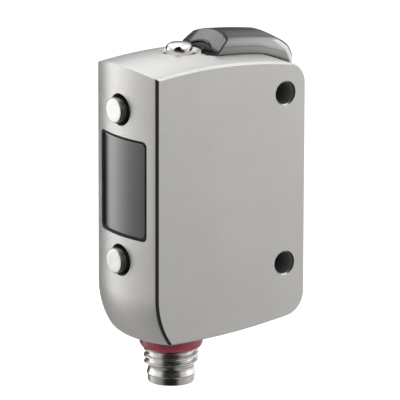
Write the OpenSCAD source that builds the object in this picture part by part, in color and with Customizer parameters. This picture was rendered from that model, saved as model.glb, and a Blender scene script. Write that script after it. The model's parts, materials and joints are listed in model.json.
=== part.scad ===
// Laser distance sensor in a flat welded stainless case.
// The origin is on the connector's axis at its open end. +X points to the detection face,
// -X to the display face, -Y to the large face with the welded cover, and +Z up.

/* [Case] */
// Thickness of the case across its two large faces
case_t = 14.5; // [14.2:0.1:16]
// Distance from the connector axis to the detection face
det_x = 18.85; // [18.8:0.05:21]
// Distance from the connector axis to the side edges of the display face
disp_x = 7.85; // [7.7:0.05:8.5]
// How far the display face bulges between its side edges
bulge = 1.37; // [1.2:0.01:1.6]
// Height of the top arch at the large faces
top_z = 47.85; // [47.6:0.05:50]
// Radius of the top arch
top_r = 80; // [70:1:95]
// Place of the crest of the top arch in front of the connector axis
top_x = 1.3; // [0.5:0.1:2.3]
// How far the top crowns between the large faces
crown = 1.25; // [1.1:0.05:1.4]
// How far the underside and the two corners crown between the large faces
crown_low = 0.35; // [0.25:0.01:0.5]
// Angle on the detection corner at which the top's crown runs out
fade_a = 68; // [66:1:71]
// Height of the underside at the large faces
bot_z = 7.72; // [7.6:0.02:7.9]
// Radius of the underside's arch
bot_r = 120; // [105:1:135]
// Place of the lowest point of the underside
bot_x = 0.8; // [0:0.1:2]
// Radius of the two corners beside the detection face
corner_r = 3.3; // [2.6:0.1:3.8]
// Radius of the heel under the display face
heel_r = 12; // [11.5:0.1:13]
// Height at which the heel starts
heel_z = 15.1; // [14.6:0.1:15.6]
// Bevel round each large face
edge = 0.22; // [0.15:0.01:0.35]
// Wall of the case
wall = 1.2; // [1.1:0.05:1.3]
// Thickness of the welded side cover
cover_t = 0.6; // [0.5:0.05:0.8]

/* [Fixing holes] */
// Distance of the fixing holes in front of the connector axis
hole_x = 15.1; // [14.9:0.05:15.2]
// Height of the lower fixing hole
hole_z = 16.76; // [16.5:0.02:17]
// Distance between the two fixing holes
hole_pitch = 25.4; // [25:0.1:26]
// Diameter of the fixing holes, for M3 screws
hole_d = 3.2; // [3.1:0.1:3.6]
// Diameter of the tube round each fixing hole
boss_d = 5.6; // [5:0.1:6]
// Bevel at the mouth of each fixing hole
mouth = 0.24; // [0.1:0.02:0.4]

/* [Display] */
// Height of the lower edge of the display window
view_z = 23.26; // [22.9:0.02:23.5]
// Height of the display window
view_h = 14.77; // [14.2:0.01:15]
// Distance from the display window's opening to each large face
view_side = 1.8; // [1.8:0.05:2.3]
// Corner radius of the display window
view_r = 0.8; // [0.4:0.1:1.2]
// How far the display window lies under the face
view_sink = 0.12; // [0.05:0.01:0.3]
// Thickness of the rim behind the wall, of both windows
rim_t = 0.5; // [0.4:0.05:0.7]
// Thickness of the gaskets behind the wall
gasket_t = 0.25; // [0.2:0.05:0.3]
// How far a window's rim reaches past its opening, above and below
rim_w = 0.6; // [0.4:0.05:0.7]
// Width of the gasket's lip round the display window
lip_w = 0.3; // [0.2:0.02:0.4]

/* [Buttons] */
// Distance from the display window up to the upper button's axis
up_gap = 3.87; // [3.6:0.01:4]
// Distance from the display window down to the lower button's axis
down_gap = 3.56; // [3.5:0.01:3.8]
// Diameter of the two display face buttons
key_d = 3.7; // [3.4:0.1:3.9]
// How far these buttons stand out of the bulged face
key_out = 1.1; // [0.9:0.02:1.4]
// Diameter of the well round each of them
well_d = 4.7; // [4.5:0.05:4.9]
// Distance of the top button in front of the connector axis
set_x = 1.4; // [1.3:0.05:1.5]
// Diameter of the top button
set_d = 3.9; // [3.7:0.05:4]
// How far the top button stands out of the top
set_out = 0.9; // [0.7:0.05:1]
// Width of the open gap round the top button
set_gap = 0.5; // [0.35:0.05:0.55]
// Diameter of the bevelled rim round that gap
set_rim_d = 6.1; // [5.9:0.05:6.2]
// How far each button travels when pressed
travel = 0.3; // [0.2:0.05:0.35]
// Radial running clearance of a button
run_gap = 0.06; // [0.04:0.01:0.1]

/* [Indicator lamp] */
// Width of the lamp's foot
lamp_w = 9; // [8.4:0.1:9.4]
// Width of the lamp's roof at its side edges
roof_w = 7.8; // [7:0.1:8.2]
// Height of the roof's side edges over the top arch
roof_h = 2.88; // [2.7:0.02:3.2]
// How far the roof crowns between its side edges
roof_rise = 0.85; // [0.5:0.05:1]
// Depth of the seat under the lamp, over the top arch at the large faces
seat_h = 0.45; // [0.3:0.05:0.5]
// Thickness of the gasket under the lamp
lamp_gasket_t = 0.45; // [0.35:0.05:0.5]
// Where the lamp's sloped front starts at its foot
lamp_front = 5; // [4.9:0.05:5.3]
// Where the lamp ends near the detection face
lamp_end = 18.6; // [18.5:0.05:18.7]
// Radius of the gasket's scallop round the top button
scallop_r = 3.2; // [3.15:0.05:3.35]

/* [Connector] */
// Outer diameter of the screw thread
thread_d = 8; // [7.8:0.1:8.2]
// Diameter of the guide collar at the open end
collar_d = 7; // [6.8:0.05:7.1]
// Length of the guide collar
collar_h = 1.9; // [1.6:0.05:2.1]
// Height at which the thread starts
thread_z = 2.7; // [2.4:0.05:3]
// Inner diameter of the plug socket
socket_d = 5.9; // [5.6:0.05:6.1]
// Height of the insert's face inside the socket
face_z = 4.2; // [4:0.1:4.6]
// Diameter of the contact pins
pin_d = 1; // [0.9:0.05:1.1]
// Height of the pins' tips
pin_z = 1; // [0.8:0.1:1.4]
// Outer diameter of the red sealing ring
ring_d = 9.3; // [9.25:0.05:9.6]
// Thickness of the red sealing ring
ring_t = 1.6; // [1.4:0.05:1.7]
// Diameter of the round neck under the case
neck_d = 9.2; // [9.15:0.05:9.4]
// Height of the neck's lower rim
neck_z = 7; // [6.95:0.05:7.1]

/* [Optics] */
// Height of the middle of the detection window
eye_z = 30.1; // [29.9:0.1:30.3]
// Height of the detection window
eye_h = 16; // [15.5:0.1:16.4]
// Distance from the detection window's opening to each large face
eye_side = 2.45; // [2.4:0.05:2.8]
// Height of the laser's axis
beam_z = 35.1; // [34.9:0.1:35.3]
// Height of the receiver's axis
recv_z = 27.1; // [26.9:0.1:27.3]
// Diameter of the laser's lens
beam_d = 3.8; // [3.6:0.1:4]
// Wall of the lens carrier beside the receiver's lens
carrier_wall = 0.9; // [0.7:0.05:1]
// Thickness of the circuit boards
board_t = 0.8; // [0.7:0.05:1]

/* [Hidden] */
$fn = 96;

// Half of the case's thickness, and a length past any of its sizes
h = case_t / 2;
far = 60;
// Clearance of parts that are glued or clamped in place
seat_gap = 0.03;

// A bulge of height c over the case's thickness is an arc of this radius
function arc_rad(c) = (h * h + c * c) / (2 * c);
crown_rad = arc_rad(crown);
bulge_rad = arc_rad(bulge);
bulge_x = bulge_rad - disp_x - bulge;

// The detection corners run a little past the flat face, so they meet it in a faint edge
corner_over = 0.02;
round_r = corner_r + corner_over;
round_x = det_x - corner_r;
top_c = top_z - top_r;
bot_c = bot_z + bot_r;
round_top = top_c + sqrt(pow(top_r - round_r, 2) - pow(round_x - top_x, 2));
round_bot = bot_c - sqrt(pow(bot_r - round_r, 2) - pow(round_x - bot_x, 2));
top_a = acos((round_x - top_x) / (top_r - round_r));
bot_a = acos((round_x - bot_x) / (bot_r - round_r));
reach = disp_x + bulge + 2;
// A bar along each corner's axis ties the pieces that only meet there
tie = corner_r;
crown_low_rad = arc_rad(crown_low);
// The corner of the cavity over the heel
heel_in_x = 3.35;
heel_in_z = 0.2;

// Planes of the cavity
cover_y = cover_t - h;
back_y = h - wall;
front_x = det_x - wall;

// The windows, and the buttons beside the display window
view_w = case_t - 2 * view_side;
view_mid = view_z + view_h / 2;
rim_side = 0.25;
eye_w = case_t - 2 * eye_side;
eye_r = 1;
up_z = view_z + view_h + up_gap;
down_z = view_z - down_gap;

// Circuit boards: the main board lies along the back wall and the others stand on it
post_h = 0.6;
main_y = back_y - post_h - board_t;
board_in = 4.5;
main_x0 = board_in - disp_x;
boss_gap = 0.3;
main_x1 = hole_x - boss_d / 2 - boss_gap;
main_foot = 2.9;
main_z0 = bot_z + main_foot;
main_top = 2.85;
main_z1 = top_z - main_top;
board_margin = 0.8;
board_foot = 2.5;
disp_board_x = main_x0 - board_t;
module_t = 2;
module_end = 0.9;
switch_t = 1.8;
switch_w = 3.4;
plunger_d = 1.6;
plunger_in = 0.55;
plunger_gap = 0.05;
key_face_x = -disp_x - bulge - key_out;
key_edge = 0.25;
stem_h = 0.7;
stem_gap = 0.35;
key_foot_x = disp_board_x - switch_t - stem_gap;
key_stop_x = key_foot_x - stem_h;
key_flange_d = 5.5;
key_seal_in = 0.27;
key_seal_gap = 0.17;
flange_t = 0.6;
stem_d = 2;

// The lamp board hangs under the top, as high as its switch allows
set_top = top_z + crown + set_out;
set_edge = 0.3;
set_seal_gap = 0.25;
set_flange_z = top_z - wall - set_seal_gap;
set_stem_h = 0.5;
set_foot_z = set_flange_z - flange_t - set_stem_h;
set_stem_gap = 0.4;
lamp_board_z = set_foot_z - set_stem_gap - switch_t;
lamp_board_x0 = set_x - 3.2;
lamp_board_x1 = main_x1 - 0.2;
seal_d = 6.4;
seal_t = 0.7;
set_rim_z = top_z + crown;
set_gap_d = set_d + 2 * set_gap;
set_gap_depth = 1.1;

// The lamp's section is given by its radius over the centre of the top arch
floor_r = top_r + seat_h;
lens_r = floor_r + lamp_gasket_t;
roof_r = top_r + roof_h;
roof_rad = (pow(roof_w / 2, 2) + pow(roof_rise, 2)) / (2 * roof_rise);
draft_r = lens_r + 0.3;
roof_draft = (lamp_w - roof_w) / 2 / (roof_r - draft_r);
foot_x = lamp_front + 0.28;
foot_h = 0.7;
front_lean = 1.25;
front_h = 4;
front_scallop_r = 4.6;
end_x = lamp_end - 0.6;
end_z = top_z + 0.55;
end_lean = 1.28;
end_top = 3;
end_foot_x = lamp_end - 0.05;
end_foot_z = top_z - 0.85;
end_cut_x = 0.9;
end_cut_y = 0.7;
cut_reach = 3;
lip_r = 3.6;
lip_h = 0.7;
front_z = top_c + sqrt(pow(lens_r, 2) - pow(lamp_front - top_x, 2));
skirt_x = lamp_end - 2.1;
skirt_z = top_z - 2.15;
seat_x = set_x + 2;
seat_front_w = 7.6;
guide_x0 = 6.9;
guide_x1 = 12.1;
guide_w = 4;
guide_gap = 0.1;
guide_foot = 0.5;
led_x = [8, 10.8];
led_w = 1.6;
led_t = 0.9;

// Connector
shell_flange_d = 9.1;
shank_d = thread_d + 0.4;
neck_in = 1.5;
shell_seat_z = bot_z + neck_in;
shell_flange_t = 1;
thread_end = neck_z - ring_t - 0.2;
root_d = thread_d - 1.4;
relief_h = 0.4;
shell_edge = 0.2;
insert_collar_d = 7.2;
insert_collar_t = 0.8;
insert_top_z = shell_seat_z + shell_flange_t + insert_collar_t;
link_z = insert_top_z;
link_margin = 1.4;
pin_tail = 0.4;
pin_edge = 0.3;
pin_taper = 0.4;
ring_edge = 0.2;
pins = [[1.25, 1], [-1.25, 1], [-0.95, -1.15], [0.95, -1.15]];

// Optics
eye_rim_x = front_x - gasket_t - rim_t;
sensor_board_x = eye_rim_x - 11.1;
block_x = sensor_board_x + board_t;
block_gap = 0.5;
block_w = 2 * (main_y - block_gap);
block_h = eye_h + 1;
recv_d = block_w - 2 * carrier_wall;
can_d = 3.8;
can_t = 1;
cap_d = 2.7;
cap_t = 1.8;
chip_w = 4.6;
chip_t = 0.8;
lens_seat = 2.4;
lens_shelf = 0.4;
stop_w = 0.4;
cone_d = 3;

screw_at = [[2, 16], [2, 38.5]];
screw_d = 1.6;
screw_head_d = 2.8;
screw_head_t = 0.6;
post_d = 3.4;
screw_bite = 1.1;

// A crowned arc in section: x is the radius and y runs across the case's thickness
module crowned(r, rise, rad, inner, d, rim, y_lim)
    intersection() {
        polygon([
            [inner, -y_lim], [r - d - edge + rim - y_lim, -y_lim], [r - d - edge + rim, 0],
            [r - d - edge + rim - y_lim, y_lim], [inner, y_lim]
        ]);
        translate([r + rise - rad, 0]) rotate(180) circle(r = rad - d);
    }

// Turns a section about an axis across the case, from angle a0 to a1, measured up from +X
module sector(x, z, a0, a1)
    translate([x, 0, z]) rotate([90, 0, 0]) rotate([0, 0, a0])
        rotate_extrude(angle = a1 - a0) children();

// Draws a shape of the X-Z plane and runs it across the case from y0 to y1
module across(y0, y1)
    translate([0, y1, 0]) rotate([90, 0, 0]) linear_extrude(height = y1 - y0) children();

// Draws a shape of the Y-Z plane and runs it along X from x0 to x1
module along(x0, x1)
    translate([x0, 0, 0]) rotate([90, 0, 90]) linear_extrude(height = x1 - x0) children();

// A cylinder along X, and one across the case
module bar_x(x0, x1, z, d)
    translate([x0, 0, z]) rotate([0, 90, 0]) cylinder(d = d, h = x1 - x0);

module bar_y(y0, y1, x, z, d)
    translate([x, y1, z]) rotate([90, 0, 0]) cylinder(d = d, h = y1 - y0);

// A box between two corners
module block(p0, p1)
    translate(p0) cube(p1 - p0);

// A rectangle with round corners about the point x, z
module round_rect(x, z, w, t, r)
    translate([x, z]) {
        square([w - 2 * r, t], center = true);
        square([w, t - 2 * r], center = true);
        for (i = [-1, 1], j = [-1, 1])
            translate([i * (w / 2 - r), j * (t / 2 - r)]) circle(r = r);
    }

// The case seen from above: bulged at the display face, flat at the detection face
module plan(d, rim)
    intersection() {
        polygon([
            [edge - disp_x + d, -rim], [edge - disp_x + d - rim, 0], [edge - disp_x + d, rim],
            [det_x - d - edge, rim], [det_x - d, rim - edge], [det_x - d, edge - rim],
            [det_x - d - edge, -rim]
        ]);
        translate([bulge_x, 0]) circle(r = bulge_rad - d);
    }

// The display side: the plan run up, and its bulge turned round the heel
module display_side() {
    translate([0, 0, heel_z]) linear_extrude(height = far) plan(0, h);
    sector(heel_r - disp_x, heel_z, 180, 270) crowned(heel_r, bulge, bulge_rad, 0, 0, h, h);
    linear_extrude(height = heel_z)
        intersection() {
            plan(0, h);
            translate([heel_r - disp_x, -h]) square([far, case_t]);
        }
}

// The top and the underside with their crown, and the two corners beside the detection face
module ends() {
    translate([-reach, -h - 1, round_bot])
        cube([reach + det_x + 1, case_t + 2, round_top - round_bot]);
    for (z = [round_bot, round_top])
        translate([round_x - tie / 2, -h - 1, z - tie / 2]) cube([tie, case_t + 2, tie]);
    sector(top_x, top_c, top_a, acos(-(reach + top_x) / top_r))
        crowned(top_r, crown, crown_rad, top_r - case_t, 0, h, h + 1);
    sector(round_x, round_top, 0, top_a) crowned(round_r, crown_low, crown_low_rad, 0, 0, h, h + 1);
    sector(round_x, round_bot, -bot_a, 0) crowned(round_r, crown_low, crown_low_rad, 0, 0, h, h + 1);
    sector(bot_x, bot_c, 360 - acos(-(reach + bot_x) / bot_r), 360 - bot_a)
        crowned(bot_r, crown_low, crown_low_rad, bot_r - case_t, 0, h, h + 1);
}

// A plane that touches the detection corner and takes the crown off the top beside it
module crown_fade()
    translate([round_x + corner_r * cos(fade_a), 0, round_top + corner_r * sin(fade_a)])
        rotate([0, 90 - fade_a, 0]) translate([-far, -far, 0]) cube(2 * far);

// The whole outside of the case, cover included
module case_form()
    difference() {
        intersection() {
            display_side();
            ends();
        }
        crown_fade();
    }

// The space inside the case, open to the side cover
module cavity()
    intersection() {
        linear_extrude(height = far) plan(wall, far);
        across(-far, back_y)
            difference() {
                intersection() {
                    translate([top_x, top_c]) circle(r = top_r - wall);
                    translate([bot_x, bot_c]) circle(r = bot_r - wall);
                }
                polygon([
                    [-far, heel_z], [wall - disp_x, heel_z], [heel_in_x - disp_x, bot_z + heel_in_z],
                    [heel_in_x - disp_x, -far], [-far, -far]
                ]);
            }
    }

// The bore and bevelled mouths of the two fixing holes
module fixing_bores()
    for (z = [hole_z, hole_z + hole_pitch]) {
        bar_y(-h - 1, h + 1, hole_x, z, hole_d);
        for (s = [-1, 1])
            translate([hole_x, s * h, z]) rotate([s * 90, 0, 0]) translate([0, 0, -1])
                cylinder(d1 = hole_d + 2 * (mouth + 1), d2 = hole_d, h = 1 + mouth);
    }

// The lamp's outer form: drafted sides under a crowned roof, following the top arch
module lamp_form()
    intersection() {
        across(-h, h)
            difference() {
                polygon([
                    [lamp_front, front_z], [foot_x, front_z + foot_h],
                    [foot_x + front_lean * front_h, front_z + foot_h + front_h],
                    [end_x - end_lean * end_top, end_z + end_top], [end_x, end_z],
                    [end_foot_x, end_foot_z], [lamp_end, skirt_z], [lamp_front, skirt_z]
                ]);
                intersection() {
                    translate([top_x, top_c]) circle(r = lens_r);
                    square([skirt_x, far]);
                }
            }
        sector(top_x, top_c, 70, 100)
            intersection() {
                polygon([
                    [top_r - 4, -lamp_w / 2], [draft_r, -lamp_w / 2],
                    [roof_r + 2, roof_draft * (roof_r + 2 - draft_r) - lamp_w / 2],
                    [roof_r + 2, lamp_w / 2 - roof_draft * (roof_r + 2 - draft_r)],
                    [draft_r, lamp_w / 2], [top_r - 4, lamp_w / 2]
                ]);
                translate([roof_r + roof_rise - roof_rad, 0]) rotate(180) circle(r = roof_rad);
            }
        linear_extrude(height = far)
            polygon([
                [lamp_front, -lamp_w],
                [lamp_end - end_cut_x * cut_reach, end_cut_y * (1 - cut_reach) - lamp_w / 2],
                [lamp_end, end_cut_y - lamp_w / 2], [lamp_end, lamp_w / 2 - end_cut_y],
                [lamp_end - end_cut_x * cut_reach, lamp_w / 2 + end_cut_y * (cut_reach - 1)],
                [lamp_front, lamp_w]
            ]);
    }

// The outline of the lamp's seat seen from above, scalloped round the top button
module seat_plan(grow)
    difference() {
        polygon([
            [seat_x - grow, -seat_front_w / 2], [lamp_front, -lamp_w / 2 - grow],
            [lamp_end - end_cut_x, -lamp_w / 2 - grow], [lamp_end + grow, end_cut_y - lamp_w / 2],
            [lamp_end + grow, lamp_w / 2 - end_cut_y], [lamp_end - end_cut_x, lamp_w / 2 + grow],
            [lamp_front, lamp_w / 2 + grow], [seat_x - grow, seat_front_w / 2]
        ]);
        translate([set_x, 0]) circle(r = scallop_r);
    }

// The pocket for the lamp and its gasket, deeper at the detection corner
module lamp_seat()
    intersection() {
        across(-h, h)
            difference() {
                translate([seat_x - 1, skirt_z]) square([far, far]);
                intersection() {
                    translate([top_x, top_c]) circle(r = floor_r);
                    square([skirt_x, far]);
                }
            }
        linear_extrude(height = far) seat_plan(seat_gap);
    }

// A drawn or moulded tub with the fixing tubes, the neck and the board posts inside
module housing()
    color("silver")
    difference() {
        union() {
            difference() {
                intersection() {
                    case_form();
                    block([-far, cover_y, -1], [far, far, far]);
                }
                cavity();
            }
            for (z = [hole_z, hole_z + hole_pitch])
                bar_y(cover_y, h - wall / 2, hole_x, z, boss_d);
            translate([0, 0, neck_z]) cylinder(d = neck_d, h = shell_seat_z - neck_z);
            for (p = screw_at)
                bar_y(main_y + board_t, back_y + wall / 2, p[0], p[1], post_d);
        }
        fixing_bores();
        translate([0, 0, neck_z - 1])
            cylinder(d = shank_d + 2 * seat_gap, h = shell_seat_z - neck_z + 2);
        along(-far, 0) round_rect(0, view_mid, view_w, view_h, view_r);
        along(round_x, far) round_rect(0, eye_z, eye_w, eye_h, eye_r);
        for (z = [up_z, down_z])
            bar_x(-far, 0, z, well_d);
        translate([set_x, 0, lamp_board_z]) cylinder(d = set_d + 2 * run_gap, h = far);
        translate([set_x, 0, lamp_board_z])
            cylinder(d = seal_d, h = set_flange_z + set_seal_gap + seal_t - lamp_board_z);
        translate([set_x, 0, set_rim_z - set_gap_depth]) cylinder(d = set_gap_d, h = far);
        translate([set_x, 0, set_rim_z - (set_rim_d - set_gap_d) / 2])
            cylinder(d1 = set_gap_d, d2 = set_rim_d + 1, h = (set_rim_d + 1 - set_gap_d) / 2);
        lamp_seat();
        block([guide_x0 - guide_gap, -guide_w / 2 - guide_gap, lamp_board_z],
            [guide_x1 + guide_gap, guide_w / 2 + guide_gap, far]);
        for (p = screw_at)
            bar_y(main_y, main_y + board_t + screw_bite, p[0], p[1], screw_d);
    }

// The plate that closes the tub, welded round its edge
module side_cover()
    color("lightgray")
    difference() {
        intersection() {
            case_form();
            block([-far, -h - 1, -1], [far, cover_y, far]);
        }
        fixing_bores();
    }

// The dark window in the detection face, with a rim behind the wall
module front_window()
    color([0.15, 0.05, 0.08]) {
        along(eye_rim_x + rim_t, det_x - view_sink)
            round_rect(0, eye_z, eye_w - 2 * seat_gap, eye_h - 2 * seat_gap, eye_r);
        along(eye_rim_x, eye_rim_x + rim_t) round_rect(0, eye_z, eye_w + 2 * rim_w, eye_h + 2 * rim_w, eye_r);
    }

module window_seal()
    color("black")
    along(eye_rim_x + rim_t, front_x)
        difference() {
            round_rect(0, eye_z, eye_w + 2 * rim_w, eye_h + 2 * rim_w, eye_r);
            round_rect(0, eye_z, eye_w, eye_h, eye_r);
        }

// A curved shell that follows the display face, between two depths under it
module face_shell(d0, d1)
    difference() {
        translate([bulge_x, 0, 0]) cylinder(r = bulge_rad - d0, h = far);
        translate([bulge_x, 0, -1]) cylinder(r = bulge_rad - d1, h = far + 2);
    }

module display_rim()
    along(-far, 0)
        round_rect(0, view_mid, view_w + 2 * rim_side, view_h + 2 * rim_w, view_r);

// The opening's outline, drawn in by a distance
module display_pane(d)
    along(-far, 0) round_rect(0, view_mid, view_w - 2 * d, view_h - 2 * d, view_r);

// The smoked display window, curved with the face
module display_window()
    color([0.12, 0.12, 0.13]) {
        intersection() {
            face_shell(view_sink, wall + gasket_t + rim_t / 2);
            display_pane(lip_w);
        }
        intersection() {
            face_shell(wall + gasket_t, wall + gasket_t + rim_t);
            display_rim();
        }
    }

// The display gasket, with a lip that comes up between the window and the case
module display_seal()
    color("black")
    difference() {
        union() {
            intersection() {
                face_shell(wall, wall + gasket_t);
                display_rim();
            }
            intersection() {
                face_shell(view_sink, wall + gasket_t);
                display_pane(seat_gap);
            }
        }
        display_pane(lip_w - seat_gap);
    }

// The lit number display, a flat glass block on the display board
module display_module()
    color([0.1, 0.2, 0.15])
    block([disp_board_x - module_t, rim_side - view_w / 2, view_z + module_end],
        [disp_board_x, view_w / 2 - rim_side, view_z + view_h - module_end]);

module display_board()
    color("darkgreen")
    block([disp_board_x, cover_y + board_margin, down_z - switch_w / 2 - board_foot],
        [disp_board_x + board_t, main_y + board_t, main_z1]);

// A round metal button on the display face, with the flange that keeps it in
module key(z)
    color("gainsboro") {
        translate([key_face_x, 0, z]) rotate([0, 90, 0]) {
            cylinder(d1 = key_d - 2 * key_edge, d2 = key_d, h = key_edge);
            translate([0, 0, key_edge]) cylinder(d = key_d, h = key_stop_x - key_face_x - key_edge);
        }
        bar_x(key_stop_x - flange_t, key_stop_x, z, key_flange_d);
        bar_x(key_stop_x, key_foot_x, z, stem_d);
    }

module key_seal(z)
    color("black")
    difference() {
        bar_x(-disp_x - bulge + key_seal_in, key_stop_x - flange_t - key_seal_gap, z, well_d);
        bar_x(-far, 0, z, key_d + 2 * run_gap);
    }

// A push switch on the display board, with a hole for its plunger
module key_switch(z)
    color("dimgray")
    difference() {
        block([disp_board_x - switch_t, -switch_w / 2, z - switch_w / 2],
            [disp_board_x, switch_w / 2, z + switch_w / 2]);
        bar_x(disp_board_x - switch_t - 1, disp_board_x - switch_t + plunger_in + travel + plunger_gap,
            z, plunger_d + 4 * plunger_gap);
    }

module key_plunger(z)
    color("white")
    bar_x(key_foot_x, disp_board_x - switch_t + plunger_in, z, plunger_d);

module up_button() key(up_z);
module down_button() key(down_z);
module up_button_seal() key_seal(up_z);
module down_button_seal() key_seal(down_z);
module up_switch() key_switch(up_z);
module down_switch() key_switch(down_z);
module up_plunger() key_plunger(up_z);
module down_plunger() key_plunger(down_z);

// The polished top button, with its flange and stem
module set_button()
    color("gainsboro")
    translate([set_x, 0, 0])
    rotate_extrude()
        polygon([
            [0, set_foot_z], [stem_d / 2, set_foot_z], [stem_d / 2, set_flange_z - flange_t],
            [seal_d / 2 - set_edge, set_flange_z - flange_t], [seal_d / 2 - set_edge, set_flange_z],
            [set_d / 2, set_flange_z], [set_d / 2, set_top - set_edge], [set_d / 2 - set_edge, set_top],
            [0, set_top]
        ]);

module set_button_seal()
    color("black")
    translate([set_x, 0, set_flange_z + set_seal_gap])
    difference() {
        cylinder(d = seal_d, h = seal_t);
        translate([0, 0, -1]) cylinder(d = set_d + 2 * run_gap, h = seal_t + 2);
    }

module set_switch()
    color("dimgray")
    difference() {
        block([set_x - switch_w / 2, -switch_w / 2, lamp_board_z],
            [set_x + switch_w / 2, switch_w / 2, lamp_board_z + switch_t]);
        translate([set_x, 0, lamp_board_z + switch_t - plunger_in - travel - plunger_gap])
            cylinder(d = plunger_d + 4 * plunger_gap, h = switch_t);
    }

module set_plunger()
    color("white")
    translate([set_x, 0, lamp_board_z + switch_t - plunger_in])
    cylinder(d = plunger_d, h = set_foot_z - lamp_board_z - switch_t + plunger_in);

// The smoked lamp cover on the top, with the light guide that reaches down to the lamps
module indicator_lens()
    color([0.55, 0.57, 0.58])
    difference() {
        union() {
            lamp_form();
            block([guide_x0, -guide_w / 2, lamp_board_z + led_t + guide_foot],
                [guide_x1, guide_w / 2, top_z + crown]);
        }
        translate([set_x, 0, 0]) cylinder(r = front_scallop_r, h = far);
    }

// A layer on the floor of the lamp's seat, up to a radius over the centre of the top arch
module seat_layer(r)
    intersection() {
        across(-lamp_w / 2, lamp_w / 2)
            intersection() {
                difference() {
                    translate([top_x, top_c]) circle(r = r);
                    translate([top_x, top_c]) circle(r = floor_r);
                }
                translate([seat_x, skirt_z]) square([skirt_x - seat_x, skirt_z]);
            }
        linear_extrude(height = far) children();
    }

// The gasket under the lamp, with a lip that stands up round the scallop
module indicator_seal()
    color("black") {
        seat_layer(lens_r)
            difference() {
                seat_plan(0);
                translate([guide_x0 - guide_gap, -guide_w / 2 - guide_gap])
                    square([guide_x1 - guide_x0 + 2 * guide_gap, guide_w + 2 * guide_gap]);
            }
        seat_layer(lens_r + lip_h)
            intersection() {
                seat_plan(0);
                translate([set_x, 0]) circle(r = lip_r);
            }
    }

module indicator_board()
    color("darkgreen")
    block([lamp_board_x0, cover_y + board_margin, lamp_board_z - board_t],
        [lamp_board_x1, main_y, lamp_board_z]);

module indicator_leds()
    color("ivory")
    for (x = led_x)
        block([x - led_w / 2, -led_w / 2, lamp_board_z], [x + led_w / 2, led_w / 2, lamp_board_z + led_t]);

// The turned connector body: guide collar, undercut, thread and inner flange
module connector_shell()
    color("lightgray")
    rotate_extrude()
        polygon([
            [socket_d / 2, shell_edge], [socket_d / 2 + shell_edge, 0], [collar_d / 2, 0],
            [collar_d / 2, collar_h - shell_edge], [collar_d / 2 - shell_edge, collar_h],
            [root_d / 2, collar_h], [root_d / 2, thread_z - relief_h], [thread_d / 2, thread_z],
            [thread_d / 2, thread_end], [root_d / 2, thread_end], [root_d / 2, neck_z - ring_t],
            [shank_d / 2, neck_z - ring_t], [shank_d / 2, shell_seat_z],
            [shell_flange_d / 2, shell_seat_z], [shell_flange_d / 2, shell_seat_z + shell_flange_t],
            [socket_d / 2, shell_seat_z + shell_flange_t]
        ]);

// The plastic insert that carries the pins
module connector_insert()
    color([0.1, 0.1, 0.1])
    difference() {
        union() {
            translate([0, 0, face_z])
                cylinder(d = socket_d - 2 * seat_gap, h = shell_seat_z + shell_flange_t - face_z);
            translate([0, 0, shell_seat_z + shell_flange_t])
                cylinder(d = insert_collar_d, h = insert_top_z - shell_seat_z - shell_flange_t);
        }
        for (p = pins)
            translate([p[0], p[1], 0]) cylinder(d = pin_d, h = far);
    }

module contact_pin(i)
    color("gold")
    translate([pins[i][0], pins[i][1], 0]) {
        translate([0, 0, pin_z]) cylinder(d1 = pin_d - pin_taper, d2 = pin_d, h = pin_edge);
        translate([0, 0, pin_z + pin_edge])
            cylinder(d = pin_d, h = link_z + board_t + pin_tail - pin_z - pin_edge);
    }

module contact_pin_1() contact_pin(0);
module contact_pin_2() contact_pin(1);
module contact_pin_3() contact_pin(2);
module contact_pin_4() contact_pin(3);

// The red ring that seals the plug's nut against the neck
module connector_seal()
    color("crimson")
    translate([0, 0, neck_z - ring_t])
    rotate_extrude()
        polygon([
            [shank_d / 2 + seat_gap, 0], [ring_d / 2 - ring_edge, 0], [ring_d / 2, ring_edge],
            [ring_d / 2, ring_t - ring_edge / 2], [ring_d / 2 - ring_edge / 2, ring_t],
            [shank_d / 2 + seat_gap, ring_t]
        ]);

module connector_board()
    color("darkgreen")
    difference() {
        block([-neck_d / 2, cover_y + link_margin, link_z], [neck_d / 2, main_y, link_z + board_t]);
        for (p = pins)
            translate([p[0], p[1], 0]) cylinder(d = pin_d, h = far);
    }

// A lens with one flat and one domed face, its dome towards -X
module plano_lens(x, z, d, t, rise)
    intersection() {
        bar_x(x, x + t, z, d);
        translate([x + (d * d / 4 + rise * rise) / (2 * rise), 0, z])
            sphere(r = (d * d / 4 + rise * rise) / (2 * rise));
    }

// The moulded carrier of the lenses, with a bore for the beam and a cone for the return light
module optics_block()
    color([0.08, 0.08, 0.09])
    difference() {
        block([block_x, -block_w / 2, eye_z - block_h / 2], [eye_rim_x, block_w / 2, eye_z + block_h / 2]);
        bar_x(0, far, beam_z, cap_d + stop_w / 2);
        bar_x(0, block_x + can_t, beam_z, can_d);
        bar_x(eye_rim_x - lens_seat, far, beam_z, beam_d);
        bar_x(eye_rim_x - lens_seat - lens_shelf, far, recv_z, recv_d - 2 * stop_w);
        bar_x(eye_rim_x - lens_seat, far, recv_z, recv_d);
        translate([block_x + chip_t, 0, recv_z]) rotate([0, 90, 0])
            cylinder(d1 = cone_d, d2 = recv_d - 2 * stop_w,
                h = eye_rim_x - lens_seat - lens_shelf - block_x - chip_t);
        block([0, -chip_w / 2, recv_z - chip_w / 2], [block_x + chip_t, chip_w / 2, recv_z + chip_w / 2]);
    }

module laser_diode()
    color("goldenrod") {
        bar_x(block_x, block_x + can_t, beam_z, can_d);
        bar_x(block_x + can_t, block_x + can_t + cap_t, beam_z, cap_d);
    }

module collimator_lens()
    color("lightblue")
    plano_lens(eye_rim_x - lens_seat, beam_z, beam_d, 1.8, 0.6);

module receiver_lens()
    color("lightblue")
    plano_lens(eye_rim_x - lens_seat, recv_z, recv_d, 2.2, 1);

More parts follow.
